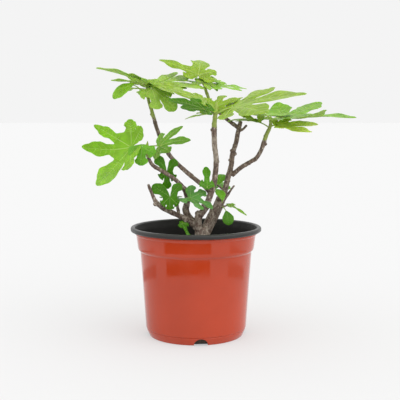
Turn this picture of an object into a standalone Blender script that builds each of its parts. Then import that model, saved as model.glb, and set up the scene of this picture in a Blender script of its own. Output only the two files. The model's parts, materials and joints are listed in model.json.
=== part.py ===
"""A young fig tree standing in a round plastic nursery pot.

Sizes are in millimetres up to the point where a mesh is made, and metres from there.
The origin is the middle of the pot's flat underside, +Z is up and -Y is the side seen in the photograph.
Every node is one closed solid. A bough is cut back a small gap from whatever it grows from.
"""
import math

import bmesh
import bpy
import numpy as np

MILLIMETRE = 0.001
WELD_DISTANCE = 1e-6
JOINT_GAP = 0.35

# The pot, from its foot to the rim
POT_HEIGHT = 159.0
FOOT_RADIUS = 68.5
GROOVE_RADIUS = 72.6
GROOVE_HEIGHT = 11.0
FOOT_EDGE_RADIUS = 71.2
FOOT_EDGE_HEIGHT = 4.0
WALL_FOOT_RADIUS = 73.5
WALL_FOOT_HEIGHT = 12.5
WALL_TOP_RADIUS = 81.0
WALL_TOP_HEIGHT = 123.5
COLLAR_FOOT_RADIUS = 84.2
COLLAR_FOOT_HEIGHT = 128.0
COLLAR_TOP_RADIUS = 87.4
COLLAR_TOP_HEIGHT = 150.5
MIDDLE_RADIUS = 77.5
MIDDLE_HEIGHT = 75.0
RIM_RADIUS = 95.0
RIM_BAND = 6.5
RIM_EDGE = 1.6
RIM_MOUTH_RADIUS = 88.6
POT_WALL = 2.2
POT_FLOOR = 3.2
FLOOR_EDGE_RADIUS = 68.8
POT_SIDES = 48
NOTCH_COUNT = 4
NOTCH_WIDTH = 20.0
NOTCH_HEIGHT = 10.0
NOTCH_INNER_RADIUS = 60.0
NOTCH_TURN = -84.0
NOTCH_OVERCUT = 3.0
NOTCH_STEPS = 6

SOIL_HEIGHT = 125.0
SOIL_GAP = 0.4
SOIL_SLACK = 0.1
SOIL_EDGE = 1.6

LIMB_SIDES = 8
LIMB_SPAN_STEPS = 2
STEM_SIDES = 7
STALK_RADIUS = 0.75
STALK_GROWTH = 0.009
PETIOLE_SIDES = 4
PETIOLE_STEPS = 3
BLADE_THICKNESS = 1.1
BLADE_BURY = 0.16

# Each limb: stations of x, y, z and radius, from where it grows to its free end
LIMBS = {
    "trunk": [
        (10, 0, 125.4, 19), (10, 0, 129, 14.5), (9.5, 0, 137, 11.8), (8.5, 0, 147, 10.6), (7, 0, 157, 8.5),
    ],
    "bough_stump": [
        (10, 3, 146, 7.2), (18, 5, 163, 6.6), (25, 6, 178, 6.0), (31, 6, 189, 5.8), (36, 6, 200, 6.0),
    ],
    "bough_back": [
        (11, 6, 139, 6.2), (22, 14, 160, 5.5), (29, 18, 172, 4.9), (37, 21, 189, 4.4), (43, 24, 210, 4.2),
        (47, 26, 227, 4.1), (52, 28, 245, 3.8), (54, 29, 263, 3.6), (59, 30, 279, 3.4), (62, 31, 295, 3.3),
        (66, 32, 311, 3.1),
    ],
    "bough_centre": [
        (2, -2, 155, 6.2), (3, -7, 171, 5.6), (8, -10, 179, 5.0), (14, -11, 187, 4.6), (18, -11, 198, 4.4),
        (23, -12, 213, 4.3), (27, -14, 230, 4.0), (29, -17, 256, 3.8), (27, -19, 273, 3.7),
        (26, -21, 288, 3.8), (26, -23, 309, 3.7),
    ],
    "bough_left": [
        (3, 1, 157, 6.4), (-7, 2, 167, 5.8), (-13, 3, 176, 5.2), (-15, 3, 184, 4.9), (-13, 3, 193, 4.4),
        (-13, 2, 202, 3.9), (-17, -2, 213, 3.5), (-29, -8, 227, 3.0), (-44, -15, 238, 2.8),
        (-60, -21, 248, 2.6), (-66, -25, 257, 2.5), (-68, -27, 263, 2.5),
    ],
    "bough_left_low": [
        (1, -3, 160, 4.6), (-14, -6, 170, 4.0), (-32, -10, 179, 3.7), (-47, -14, 187, 3.6),
        (-57, -17, 196, 3.2), (-63, -20, 209, 2.3), (-68, -22, 222, 1.9),
    ],
    "bough_upper_left": [
        (22, -12, 207, 3.2), (12, -9, 218, 3.2), (0, -5, 227, 3.3), (-17, 0, 241, 3.2), (-35, 4, 258, 3.1),
        (-45, 6, 274, 3.0), (-54, 7, 293, 2.8), (-61, 6, 316, 2.8), (-65, 5, 331, 2.6),
    ],
    "bough_right": [
        (53, 28, 231, 3.4), (65, 24, 242, 3.3), (79, 20, 251, 3.2), (88, 17, 257, 3.1), (95, 13, 269, 3.1),
        (99, 10, 281, 3.3), (102, 8, 291, 3.0), (105, 6, 298, 2.9),
    ],
    "bough_top": [
        (63, 32, 301, 3.1), (49, 34, 311, 2.8), (34, 38, 324, 2.6), (22, 42, 336, 2.5), (16, 45, 353, 2.4),
    ],
    "twig_low_left": [(-24, -8, 174, 2.4), (-26, -4, 184, 2.2), (-28, -2, 195, 1.9)],
    "twig_stub": [(63, 31, 296, 2.2), (69, 31, 299, 1.9), (75, 31, 305, 1.6)],
    "twig_bare": [(37, 10, 190, 2.6), (44, 9, 201, 2.2), (51, 8, 211, 1.7), (56, 7, 218, 1.3)],
}

# What each limb is cut clear of
LIMB_JOINTS = {
    "bough_stump": ["trunk"],
    "bough_back": ["trunk", "bough_stump"],
    "bough_centre": ["trunk", "bough_stump"],
    "bough_left": ["trunk", "bough_centre"],
    "bough_left_low": ["trunk", "bough_centre", "bough_left"],
    "bough_upper_left": ["bough_centre"],
    "bough_right": ["bough_back"],
    "bough_top": ["bough_back"],
    "twig_low_left": ["bough_left_low"],
    "twig_stub": ["bough_back", "bough_top"],
    "twig_bare": ["bough_stump", "bough_back"],
}

# A lobe's edge: how far each place is from its foot to its tip, and how wide, per half width
LOBE_EDGE = [(0.22, 0.66), (0.56, 1.0), (0.86, 0.62)]
POINTED_EDGE = [(0.20, 0.74), (0.50, 1.0), (0.84, 0.46)]
ROUND_EDGE = [(0.06, 0.55), (0.42, 1.0), (0.82, 0.74)]

# Leaf outlines: lobes as angle from the midrib, reach and half width, then sinus depths, all per leaf length
FORMS = {
    "five": ([(0, 1.0, 0.16), (50, 0.92, 0.16), (112, 0.58, 0.17)], [0.33, 0.28], 0.10, POINTED_EDGE),
    "broad": ([(0, 1.0, 0.18), (46, 0.90, 0.20), (104, 0.60, 0.20)], [0.42, 0.34], 0.10, LOBE_EDGE),
    "slim": ([(0, 1.0, 0.13), (42, 0.86, 0.12), (95, 0.50, 0.12)], [0.33, 0.26], 0.09, POINTED_EDGE),
    "three": ([(0, 1.0, 0.24), (62, 0.80, 0.22)], [0.46], 0.16, LOBE_EDGE),
    "seven": ([(0, 1.0, 0.15), (40, 0.92, 0.15), (85, 0.70, 0.15), (128, 0.45, 0.14)],
              [0.44, 0.36, 0.28], 0.10, POINTED_EDGE),
    "round": ([(0, 1.0, 0.44)], [], 0.10, ROUND_EDGE),
}
PETIOLE_SINUS_ANGLE = 168.0
LOBE_CLEAR = 0.02
SINUS_SHARE = 0.75
SMALL_LEAF = 45.0
LIFT_START = 0.25
LIFT_SPREAD = 46.0

# What each kind of surface looks like: colour, roughness and metallic value
SURFACES = {
    "pot_plastic": ((0.56, 0.10, 0.045), 0.25, 0.0),
    "soil": ((0.03, 0.022, 0.016), 0.90, 0.0),
    "bark": ((0.13, 0.09, 0.065), 0.75, 0.0),
    "lime_leaves": ((0.28, 0.40, 0.02), 0.45, 0.0),
    "fresh_leaves": ((0.20, 0.40, 0.03), 0.45, 0.0),
    "green_leaves": ((0.12, 0.30, 0.03), 0.45, 0.0),
    "deep_leaves": ((0.06, 0.19, 0.01), 0.45, 0.0),
}


def leaf(at, heading, pitch, roll, length, form, arch=0.25, droop=0.4, fold=0.1, root=0.5,
         swing=None, lift=None, broad=None, reach=None):
    """One leaf: where its stalk meets it, how it is turned, its length and how it bends."""
    return {
        "at": at, "heading": heading, "pitch": pitch, "roll": roll, "length": length, "form": form,
        "arch": arch, "droop": droop, "fold": fold, "root": root,
        "swing": swing or {}, "lift": lift or {}, "broad": broad or {}, "reach": reach or {},
    }


# Each foliage mass: the limb it grows from, its surface, its stem of x, y, z and radius, then its leaves.
# A leaf's root is how far up the stem its stalk starts
FOLIAGE = {
    "foliage_top": {
        "grows_from": "bough_top",
        "surface": "lime_leaves",
        "stem": [(16, 45, 351, 2.4), (13, 47, 363, 2.2), (11, 48, 372, 1.6), (10, 48, 377, 0.8)],
        "leaves": [
            leaf((3, 45, 379), 96, 40, 14, 66, "five", droop=0.3, swing={0: 12, -1: -16, 1: 6},
                 reach={1: 0.6, 2: 0.65, -1: 1.05, -2: 0.65}, broad={0: 1.4, 1: 0.9, 2: 0.7, -2: 0.7},
                 root=0.75),
            leaf((10, 52, 374), 350, -24, 26, 30, "broad", fold=0.2, broad={"all": 1.1}, root=0.6),
            leaf((28, 55, 363), 14, 5, 16, 52, "slim", droop=0.1, broad={"all": 1.2},
                 reach={-1: 0.6, -2: 0.5}, root=0.3),
            leaf((6, 66, 370), 96, 6, 0, 52, "broad", droop=0.1, reach={-2: 0.7}, root=0.3),
        ],
    },
    "foliage_upper_left": {
        "grows_from": "bough_upper_left",
        "surface": "lime_leaves",
        "stem": [(-65, 5, 329, 2.4), (-69, 3, 345, 2.2), (-70, 2, 356, 2.0), (-69, 1, 364, 0.9)],
        "leaves": [
            leaf((-74, -2, 368), 178, 26, 10, 72, "five", arch=0.30, droop=0.1, fold=0.0,
                 reach={1: 0.55, -1: 0.4, 2: 0.5, -2: 0.5}, broad={0: 1.3}, root=0.85),
            leaf((-74, -10, 364), 184, 12, 12, 47, "slim", arch=0.1, droop=0.1, broad={"all": 1.2},
                 reach={1: 0.6, -1: 0.6}, root=0.7),
            leaf((-90, -16, 363), 182, -24, -50, 35, "round", arch=0.1, broad={0: 0.66}, root=0.3),
            leaf((-60, 22, 364), 8, 3, 21, 76, "slim", arch=0.14, droop=0.12, swing={-2: 43, -1: 7},
                 reach={-2: 1.65, -1: 1.1, 1: 0.8, 2: 0.5}, broad={0: 1.3, -1: 1.2, -2: 1.1}, root=0.8),
            leaf((-63, 2, 365), 354, -12, 16, 64, "slim", droop=0.1, swing={-1: 12, 1: -10},
                 reach={1: 0.8, 2: 0.5, -2: 0.6}, broad={0: 1.4, 1: 1.3, -1: 1.2}, root=0.9),
            leaf((-62, -10, 357), 350, -34, 52, 46, "broad", droop=0.2, fold=0.0, swing={-1: 16, 1: -6},
                 reach={-1: 0.72, -2: 0.7, 1: 0.78, 2: 0.8}, broad={0: 1.5, 1: 1.1, 2: 0.65, -2: 0.65},
                 root=0.6),
            leaf((-72, 22, 358), 100, 2, 0, 58, "broad", droop=0.1, root=0.5),
        ],
    },
    "foliage_left": {
        "grows_from": "bough_left",
        "surface": "fresh_leaves",
        "stem": [(-68, -27, 262, 2.4), (-69, -28, 268, 2.2), (-69, -29, 274, 2.0), (-68, -30, 281, 0.9)],
        "leaves": [
            leaf((-91, -30, 275), 148, -20, -64, 72, "seven", arch=0.02, droop=-0.1, fold=0.3,
                 swing={0: 12, 1: 2, 2: 17, 3: 12, -1: -8, -2: -18},
                 lift={0: 0.25, 1: 0.12, -2: 0.1}, broad={0: 0.9, 1: 0.7, -1: 2.3, 2: 1.15, 3: 1.2, -2: 1.4},
                 reach={-1: 1.06, -2: 0.9, 2: 0.76, -3: 0.8}, root=0.8),
            leaf((-75, -40, 276), 262, -64, 0, 27, "three", arch=0.1, droop=0.4, broad={"all": 1.5}, root=0.5),
            leaf((-51, -36, 277), 40, 20, -51, 51, "slim", arch=0.3, droop=0.33, broad={"all": 1.2},
                 reach={-1: 0.7}, root=0.7),
            leaf((-66, -12, 268), 112, 4, 0, 42, "broad", root=0.4),
        ],
    },
    "foliage_centre": {
        "grows_from": "bough_centre",
        "surface": "lime_leaves",
        "stem": [(26, -23, 307, 3.4), (27, -24, 317, 3.2), (28, -25, 326, 2.8), (29, -25, 334, 1.0)],
        "leaves": [
            leaf((13, -36, 339), 176, 27, -14, 58, "slim", droop=0.1, swing={-1: 10},
                 reach={1: 0.5, 2: 0.5, -1: 0.8}, broad={0: 1.5, -1: 1.3}, root=0.7),
            leaf((13, -46, 328), 182, 23, 26, 52, "five", droop=0.1, swing={-1: 14, 1: -16},
                 reach={-2: 0.5, 2: 0.5, -1: 0.6, 1: 0.8}, broad={0: 1.6, 1: 1.2}, root=0.6),
            leaf((28, -14, 330), 68, 45, -2, 40, "broad", arch=0.19, root=0.85),
            leaf((51, -30, 330), 342, 20, 18, 107, "slim", arch=0.03, droop=0.35, swing={-1: -4, 1: 8},
                 reach={-1: 0.86}, broad={0: 1.6, -1: 1.5, 1: 1.5}, root=0.5),
            leaf((22, -12, 322), 170, -2, -8, 40, "slim", droop=0.1, broad={0: 1.3}, root=0.4),
            leaf((38, 4, 328), 356, 4, 8, 40, "slim", droop=0.1, broad={"all": 1.3}, root=0.3),
        ],
    },
    "foliage_right": {
        "grows_from": "bough_right",
        "surface": "fresh_leaves",
        "stem": [(105, 6, 297, 2.8), (107, 5, 303, 2.6), (108, 4, 309, 2.2), (108, 3, 317, 0.9)],
        "leaves": [
            leaf((130, 20, 317), 350, 3, 9, 103, "five", arch=0.0, droop=0.1, swing={-1: -6, -2: 6},
                 lift={-1: 0.08, -2: 0.5, 1: 0.2, 2: 0.3}, broad={0: 0.95, -2: 1.2}, reach={-1: 0.95},
                 root=0.75),
            leaf((118, 4, 306), 12, 3, 22, 62, "slim", arch=0.0, droop=0.1, reach={-1: 0.6, -2: 0.5, 2: 0.5},
                 broad={0: 1.4, 1: 1.5}, root=0.3),
            leaf((96, 6, 324), 220, 16, -25, 36, "five", arch=0.38, droop=0.8, root=0.8),
            leaf((86, 22, 311), 172, 12, -10, 42, "five", droop=0.2, fold=0.2, reach={2: 0.5, -2: 0.5},
                 root=0.2),
            leaf((106, 26, 320), 95, 8, 0, 56, "broad", droop=0.1, lift={2: 0.3, -2: 0.3}, root=0.6),
        ],
    },
    "foliage_inner": {
        "grows_from": "bough_left",
        "surface": "deep_leaves",
        "stem": [(-30, -8, 227, 1.5), (-36, -1, 231, 1.4), (-41, 6, 236, 1.2)],
        "leaves": [
            leaf((-42, -2.5, 239), 270, -88, 0, 26, "broad", arch=0.1, droop=0.2, fold=0.2,
                 swing={2: 42, -2: -38},
                 reach={1: 0.6, -1: 0.7, 2: 1.75, -2: 1.4}, broad={0: 1.4, 1: 1.2, -1: 1.2, 2: 1.55, -2: 1.4},
                 root=1.0),
        ],
    },
    "foliage_low_left": {
        "grows_from": "twig_low_left",
        "surface": "deep_leaves",
        "stem": [(-28, -2, 194, 1.7), (-29, -3, 198, 1.5), (-31, -5, 201, 1.2)],
        "leaves": [
            leaf((-37, -23, 204), 268, -84, 0, 30, "broad", arch=0.1, droop=0.2, fold=0.05,
                 swing={2: 20, -2: -38}, reach={0: 0.6, 1: 0.6, -1: 0.6, 2: 1.7, -2: 1.35},
                 broad={0: 1.3, 2: 1.5, -2: 1.2}, root=1.0),
            leaf((-33, 8, 198), 110, 20, 0, 26, "broad", root=0.5),
        ],
    },
    "foliage_middle": {
        "grows_from": "bough_left",
        "surface": "green_leaves",
        "stem": [(-13, 2, 198, 1.6), (-11, -11, 202, 1.4), (-9, -24, 203, 1.2)],
        "leaves": [
            leaf((-8, -27, 203), 350, -13, 28, 36, "broad", arch=0.32, droop=0.16, fold=0.3,
                 swing={-1: -4, 2: 8}, lift={-2: 0.3}, reach={-1: 0.8}, root=1.0),
        ],
    },
    "foliage_stem": {
        "grows_from": "bough_centre",
        "surface": "green_leaves",
        "stem": [(22, -12, 212, 1.6), (19, -19, 213, 1.5), (16, -24, 217, 1.2)],
        "leaves": [
            leaf((16, -24, 219), 92, 72, 8, 32, "three", droop=0.2, reach={1: 0.42, -1: 0.46},
                 broad={0: 0.75, 1: 0.8, -1: 0.8}, root=1.0),
        ],
    },
    "foliage_behind": {
        "grows_from": "bough_back",
        "surface": "green_leaves",
        "stem": [(42, 24, 210, 1.6), (36, 28, 213, 1.5), (31, 30, 217, 1.2)],
        "leaves": [
            leaf((33, 32, 218), 60, 60, 5, 21, "round", root=1.0),
            leaf((33, 40, 214), 122, 24, 0, 34, "broad", root=0.6),
        ],
    },
    "foliage_pale": {
        "grows_from": "bough_stump",
        "surface": "green_leaves",
        "stem": [(36, 4, 197, 1.6), (38, -3, 197, 1.5), (38, -8, 195, 1.2)],
        "leaves": [leaf((38, -11, 199), 112, 62, 5, 21, "round", broad={0: 0.85}, root=1.0)],
    },
    "foliage_low_right": {
        "grows_from": "bough_stump",
        "surface": "fresh_leaves",
        "stem": [(31, 6, 186, 1.7), (38, 1, 187, 1.5), (44, -1, 189, 1.3)],
        "leaves": [
            leaf((48, 2, 190), 338, -19, 10, 31, "three", droop=0.1, broad={0: 0.5, 1: 0.5, -1: 0.5},
                 reach={1: 0.38, -1: 0.42}, root=1.0),
            leaf((44, -8, 181), 300, -58, 12, 20, "round", arch=0.1, root=0.6),
        ],
    },
    "foliage_base": {
        "grows_from": "bough_left_low",
        "surface": "deep_leaves",
        "stem": [(-14, -6, 170, 1.6), (-16, -13, 167, 1.5), (-18, -19, 165, 1.2)],
        "leaves": [
            leaf((-20, -22, 166), 322, -48, 8, 30, "three", droop=0.1, broad={0: 0.5, 1: 0.5, -1: 0.5},
                 reach={1: 0.4, -1: 0.45}, root=1.0),
        ],
    },
}


def clear_scene():
    """Remove what a new file starts with."""
    for thing in list(bpy.data.objects):
        bpy.data.objects.remove(thing, do_unlink=True)


def mesh_object(name, points, faces):
    """A mesh object from points in millimetres, its faces turned to the outside."""
    mesh = bpy.data.meshes.new(name)
    mesh.from_pydata([[c * MILLIMETRE for c in p] for p in points], [], faces)
    work = bmesh.new()
    work.from_mesh(mesh)
    bmesh.ops.recalc_face_normals(work, faces=work.faces)
    work.to_mesh(mesh)
    work.free()
    thing = bpy.data.objects.new(name, mesh)
    bpy.context.collection.objects.link(thing)
    return thing


def paint(thing, surface):
    """Give a solid its own material."""
    colour, roughness, metallic = SURFACES[surface]
    material = bpy.data.materials.new(f"{thing.name}_{surface}")
    material.use_nodes = True
    shader = material.node_tree.nodes["Principled BSDF"]
    shader.inputs["Base Color"].default_value = (*colour, 1.0)
    shader.inputs["Roughness"].default_value = roughness
    shader.inputs["Metallic"].default_value = metallic
    thing.data.materials.clear()
    thing.data.materials.append(material)


def curve_through(stations, steps):
    """Points on a smooth curve through the stations, whatever number of values each has."""
    data = np.array(stations, dtype=float)
    if steps < 2 or len(data) < 3:
        return data
    padded = np.vstack([2 * data[0] - data[1], data, 2 * data[-1] - data[-2]])
    out = []
    for i in range(1, len(padded) - 2):
        p0, p1, p2, p3 = padded[i - 1:i + 3]
        for k in range(steps):
            t = k / steps
            out.append(0.5 * (2 * p1 + (p2 - p0) * t + (2 * p0 - 5 * p1 + 4 * p2 - p3) * t ** 2
                              + (3 * p1 - p0 - 3 * p2 + p3) * t ** 3))
    out.append(data[-1])
    return np.array(out)


def unit(vector):
    """The vector at length one."""
    return vector / np.linalg.norm(vector)


def tube(name, line, sides, swell=0.0):
    """A closed tube along a line of x, y, z and radius, swollen by swell all over."""
    line = np.array(line, dtype=float)
    if swell:
        line[0, :3] -= unit(line[1, :3] - line[0, :3]) * swell
        line[-1, :3] += unit(line[-1, :3] - line[-2, :3]) * swell
    points = []
    side = None
    for i, station in enumerate(line):
        ahead = line[min(i + 1, len(line) - 1), :3] - line[max(i - 1, 0), :3]
        ahead = unit(ahead)
        start = side if side is not None else np.array([0.31, 0.95, 0.05])
        side = unit(start - ahead * float(start @ ahead))
        other = np.cross(ahead, side)
        for k in range(sides):
            angle = 2 * math.pi * k / sides
            outward = math.cos(angle) * side + math.sin(angle) * other
            points.append(station[:3] + (station[3] + swell) * outward)
    faces = [list(range(sides))[::-1]]
    for i in range(len(line) - 1):
        for k in range(sides):
            a, b = i * sides + k, i * sides + (k + 1) % sides
            faces.append([a, b, b + sides, a + sides])
    faces.append([(len(line) - 1) * sides + k for k in range(sides)])
    return mesh_object(name, points, faces)


def revolve(name, profile, sides):
    """A closed solid turned from a profile of radius and height that starts and ends on the axis."""
    points = [(0, 0, profile[0][1])]
    for radius, height in profile[1:-1]:
        for k in range(sides):
            angle = 2 * math.pi * k / sides
            points.append((radius * math.cos(angle), radius * math.sin(angle), height))
    points.append((0, 0, profile[-1][1]))
    last = len(points) - 1
    rings = len(profile) - 2
    faces = []
    for k in range(sides):
        following = (k + 1) % sides
        faces.append([0, 1 + following, 1 + k])
        for r in range(rings - 1):
            base = 1 + r * sides
            faces.append([base + k, base + following, base + sides + following, base + sides + k])
        base = 1 + (rings - 1) * sides
        faces.append([base + k, base + following, last])
    return mesh_object(name, points, faces)


def combine(target, others, operation):
    """Apply one Boolean of a collection of objects to the target, then remove them."""
    group = bpy.data.collections.new("operands")
    bpy.context.scene.collection.children.link(group)
    for thing in others:
        bpy.context.collection.objects.unlink(thing)
        group.objects.link(thing)
    modifier = target.modifiers.new("combine", "BOOLEAN")
    modifier.operation = operation
    modifier.solver = "MANIFOLD"
    modifier.operand_type = "COLLECTION"
    modifier.collection = group
    depsgraph = bpy.context.evaluated_depsgraph_get()
    mesh = bpy.data.meshes.new_from_object(target.evaluated_get(depsgraph))
    target.modifiers.clear()
    old = target.data
    target.data = mesh
    bpy.data.meshes.remove(old)
    mesh.name = target.name
    for thing in list(group.objects):
        bpy.data.objects.remove(thing, do_unlink=True)
    bpy.data.collections.remove(group)


def islands(work):
    """The separate pieces of a bmesh, each a set of faces."""
    left = set(work.faces)
    pieces = []
    while left:
        stack = [left.pop()]
        piece = set(stack)
        while stack:
            for edge in stack.pop().edges:
                for face in edge.link_faces:
                    if face in left:
                        left.remove(face)
                        piece.add(face)
                        stack.append(face)
        pieces.append(piece)
    return pieces


def tidy_mesh(thing):
    """Weld what nearly touches, then keep the biggest piece and drop scrap and sealed hollows."""
    work = bmesh.new()
    work.from_mesh(thing.data)
    bmesh.ops.remove_doubles(work, verts=work.verts, dist=WELD_DISTANCE)
    bmesh.ops.dissolve_degenerate(work, edges=work.edges, dist=WELD_DISTANCE)
    bmesh.ops.triangulate(work, faces=work.faces)
    pieces = islands(work)
    pieces.sort(key=lambda piece: sum(face.calc_area() for face in piece), reverse=True)
    scrap = [face for piece in pieces[1:] for face in piece]
    bmesh.ops.delete(work, geom=scrap, context="FACES")
    loose = [vert for vert in work.verts if not vert.link_faces]
    bmesh.ops.delete(work, geom=loose, context="VERTS")
    work.to_mesh(thing.data)
    work.free()


def make_pot():
    """The pot: a turned shell with arched notches round its foot."""
    rim_underside = POT_HEIGHT - RIM_BAND
    outside = [
        (FOOT_RADIUS, 0), (FOOT_EDGE_RADIUS, FOOT_EDGE_HEIGHT), (GROOVE_RADIUS, GROOVE_HEIGHT),
        (WALL_FOOT_RADIUS, WALL_FOOT_HEIGHT), (MIDDLE_RADIUS, MIDDLE_HEIGHT),
        (WALL_TOP_RADIUS, WALL_TOP_HEIGHT),
        (COLLAR_FOOT_RADIUS, COLLAR_FOOT_HEIGHT), (COLLAR_TOP_RADIUS, COLLAR_TOP_HEIGHT),
        (RIM_RADIUS - RIM_EDGE, rim_underside), (RIM_RADIUS, rim_underside + RIM_EDGE),
        (RIM_RADIUS, POT_HEIGHT - RIM_EDGE), (RIM_RADIUS - RIM_EDGE, POT_HEIGHT),
        (RIM_MOUTH_RADIUS + RIM_EDGE, POT_HEIGHT), (RIM_MOUTH_RADIUS, POT_HEIGHT - RIM_EDGE),
    ]
    inside = [
        (COLLAR_TOP_RADIUS - POT_WALL, COLLAR_TOP_HEIGHT - 1),
        (COLLAR_FOOT_RADIUS - POT_WALL, COLLAR_FOOT_HEIGHT + 1),
        (WALL_TOP_RADIUS - POT_WALL, WALL_TOP_HEIGHT), (MIDDLE_RADIUS - POT_WALL, MIDDLE_HEIGHT),
        (GROOVE_RADIUS - POT_WALL, GROOVE_HEIGHT), (FLOOR_EDGE_RADIUS, POT_FLOOR),
    ]
    pot = revolve("pot", [(0, 0)] + outside + inside + [(0, POT_FLOOR)], POT_SIDES)
    combine(pot, [notch_cutter(i) for i in range(NOTCH_COUNT)], "DIFFERENCE")
    tidy_mesh(pot)
    paint(pot, "pot_plastic")


def notch_cutter(index):
    """An arched block that cuts one notch through the foot, from outside to under the floor."""
    arch = [(-NOTCH_WIDTH / 2, -NOTCH_OVERCUT)]
    for k in range(NOTCH_STEPS + 1):
        angle = math.pi * (1 - k / NOTCH_STEPS)
        arch.append((NOTCH_WIDTH / 2 * math.cos(angle), NOTCH_HEIGHT * math.sin(angle)))
    arch.append((NOTCH_WIDTH / 2, -NOTCH_OVERCUT))
    turn = math.radians(NOTCH_TURN + 360.0 * index / NOTCH_COUNT)
    out = (math.cos(turn), math.sin(turn))
    across = (-math.sin(turn), math.cos(turn))
    points = []
    for reach in (NOTCH_INNER_RADIUS, RIM_RADIUS):
        for along, height in arch:
            points.append((out[0] * reach + across[0] * along, out[1] * reach + across[1] * along, height))
    count = len(arch)
    faces = [list(range(count))[::-1], [count + k for k in range(count)]]
    for k in range(count):
        following = (k + 1) % count
        faces.append([k, following, count + following, count + k])
    return mesh_object("notch", points, faces)


def make_soil():
    """The potting mix, a plug that fills the pot to its level and leaves a hair of room all round."""
    gap = POT_WALL + SOIL_GAP + SOIL_SLACK
    profile = [
        (0, POT_FLOOR + SOIL_GAP), (GROOVE_RADIUS - gap - SOIL_EDGE, POT_FLOOR + SOIL_GAP),
        (GROOVE_RADIUS - gap, GROOVE_HEIGHT), (MIDDLE_RADIUS - gap, MIDDLE_HEIGHT),
        (WALL_TOP_RADIUS - gap, WALL_TOP_HEIGHT - SOIL_GAP), (WALL_TOP_RADIUS - gap - SOIL_EDGE, SOIL_HEIGHT),
        (0, SOIL_HEIGHT),
    ]
    soil = revolve("soil", profile, POT_SIDES)
    tidy_mesh(soil)
    paint(soil, "soil")


def limb_line(name):
    """The smooth line of a limb."""
    return curve_through(LIMBS[name], LIMB_SPAN_STEPS)


def make_limb(name):
    """One limb, cut back a gap from the limbs it grows from."""
    limb = tube(name, limb_line(name), LIMB_SIDES)
    for parent in LIMB_JOINTS.get(name, []):
        combine(limb, [tube("cutter", limb_line(parent), LIMB_SIDES, swell=JOINT_GAP)], "DIFFERENCE")
    tidy_mesh(limb)
    paint(limb, "bark")


def lobes_of(spec):
    """The lobes of a leaf from its left base round to its right base: angle, reach, half width and lift."""
    half = FORMS[spec["form"]][0]
    lobes = []
    for index in range(1 - len(half), len(half)):
        angle, reach, width = half[abs(index)]
        angle = math.copysign(angle, index) if index else 0.0
        angle = math.radians(angle + spec["swing"].get(index, 0))
        reach = reach * spec["reach"].get(index, 1.0)
        width = width * spec["broad"].get(index, spec["broad"].get("all", 1.0))
        lobes.append((angle, reach, width, spec["lift"].get(index, 0.0)))
    return lobes


def toward(angle):
    """A unit vector in the blade at an angle to the right of the midrib."""
    return np.array([math.sin(angle), math.cos(angle)])


def lobe_edge(lobe, side, places, depth, limit):
    """The places along one side of a lobe, out from the depth of the sinus beside it and inside its limit."""
    angle, reach, width, _ = lobe
    room = abs(limit - angle) - LOBE_CLEAR
    edge = []
    for u, v in places:
        along, aside = depth + (reach - depth) * u, v * width
        turn = min(math.atan2(aside, along), room)
        edge.append(toward(angle + side * turn) * math.hypot(along, aside))
    return edge


def outline_chains(spec):
    """For each lobe its left and right edge, from the sinus at its foot to its tip."""
    lobes = lobes_of(spec)
    _, depths, notch, places = FORMS[spec["form"]]
    if spec["length"] < SMALL_LEAF and depths:
        places = places[1:]
    depths = list(reversed(depths)) + list(depths)
    depths = [min(depth, SINUS_SHARE * min(lobes[i][1], lobes[i + 1][1])) for i, depth in enumerate(depths)]
    limits = [-math.radians(PETIOLE_SINUS_ANGLE)]
    limits += [(lobes[i][0] + lobes[i + 1][0]) / 2 for i in range(len(depths))]
    limits += [math.radians(PETIOLE_SINUS_ANGLE)]
    depths = [notch] + depths + [notch]
    feet = [toward(limit) * depth for limit, depth in zip(limits, depths)]
    chains = []
    for i, lobe in enumerate(lobes):
        tip = toward(lobe[0]) * lobe[1]
        left = [feet[i]] + lobe_edge(lobe, -1, places, depths[i], limits[i]) + [tip]
        right = [feet[i + 1]] + lobe_edge(lobe, 1, places, depths[i + 1], limits[i + 1]) + [tip]
        chains.append((left, right))
    return chains


def flat_blade(spec):
    """The blade laid flat: points, faces and the closed edge. Neighbour lobes share a sinus."""
    points = [np.zeros(2)]
    faces = []
    edge = []
    shared = None
    chains = outline_chains(spec)
    for left, right in chains:
        if shared is None:
            shared = len(points)
            points.append(left[0])
        left_ids = [shared] + [len(points) + k for k in range(len(left) - 1)]
        points += left[1:]
        right_ids = [len(points) + k for k in range(len(right) - 1)] + [left_ids[-1]]
        points += right[:-1]
        if len(chains) > 1:
            faces.append([0, left_ids[0], right_ids[0]])
        for k in range(len(left) - 1):
            faces.append([left_ids[k], left_ids[k + 1], right_ids[k]])
            if left_ids[k + 1] != right_ids[k + 1]:
                faces.append([left_ids[k + 1], right_ids[k + 1], right_ids[k]])
        edge += left_ids + right_ids[-2:0:-1]
        shared = right_ids[0]
    return np.array(points), faces, edge + [shared, 0] if len(chains) > 1 else edge + [shared]


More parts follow.
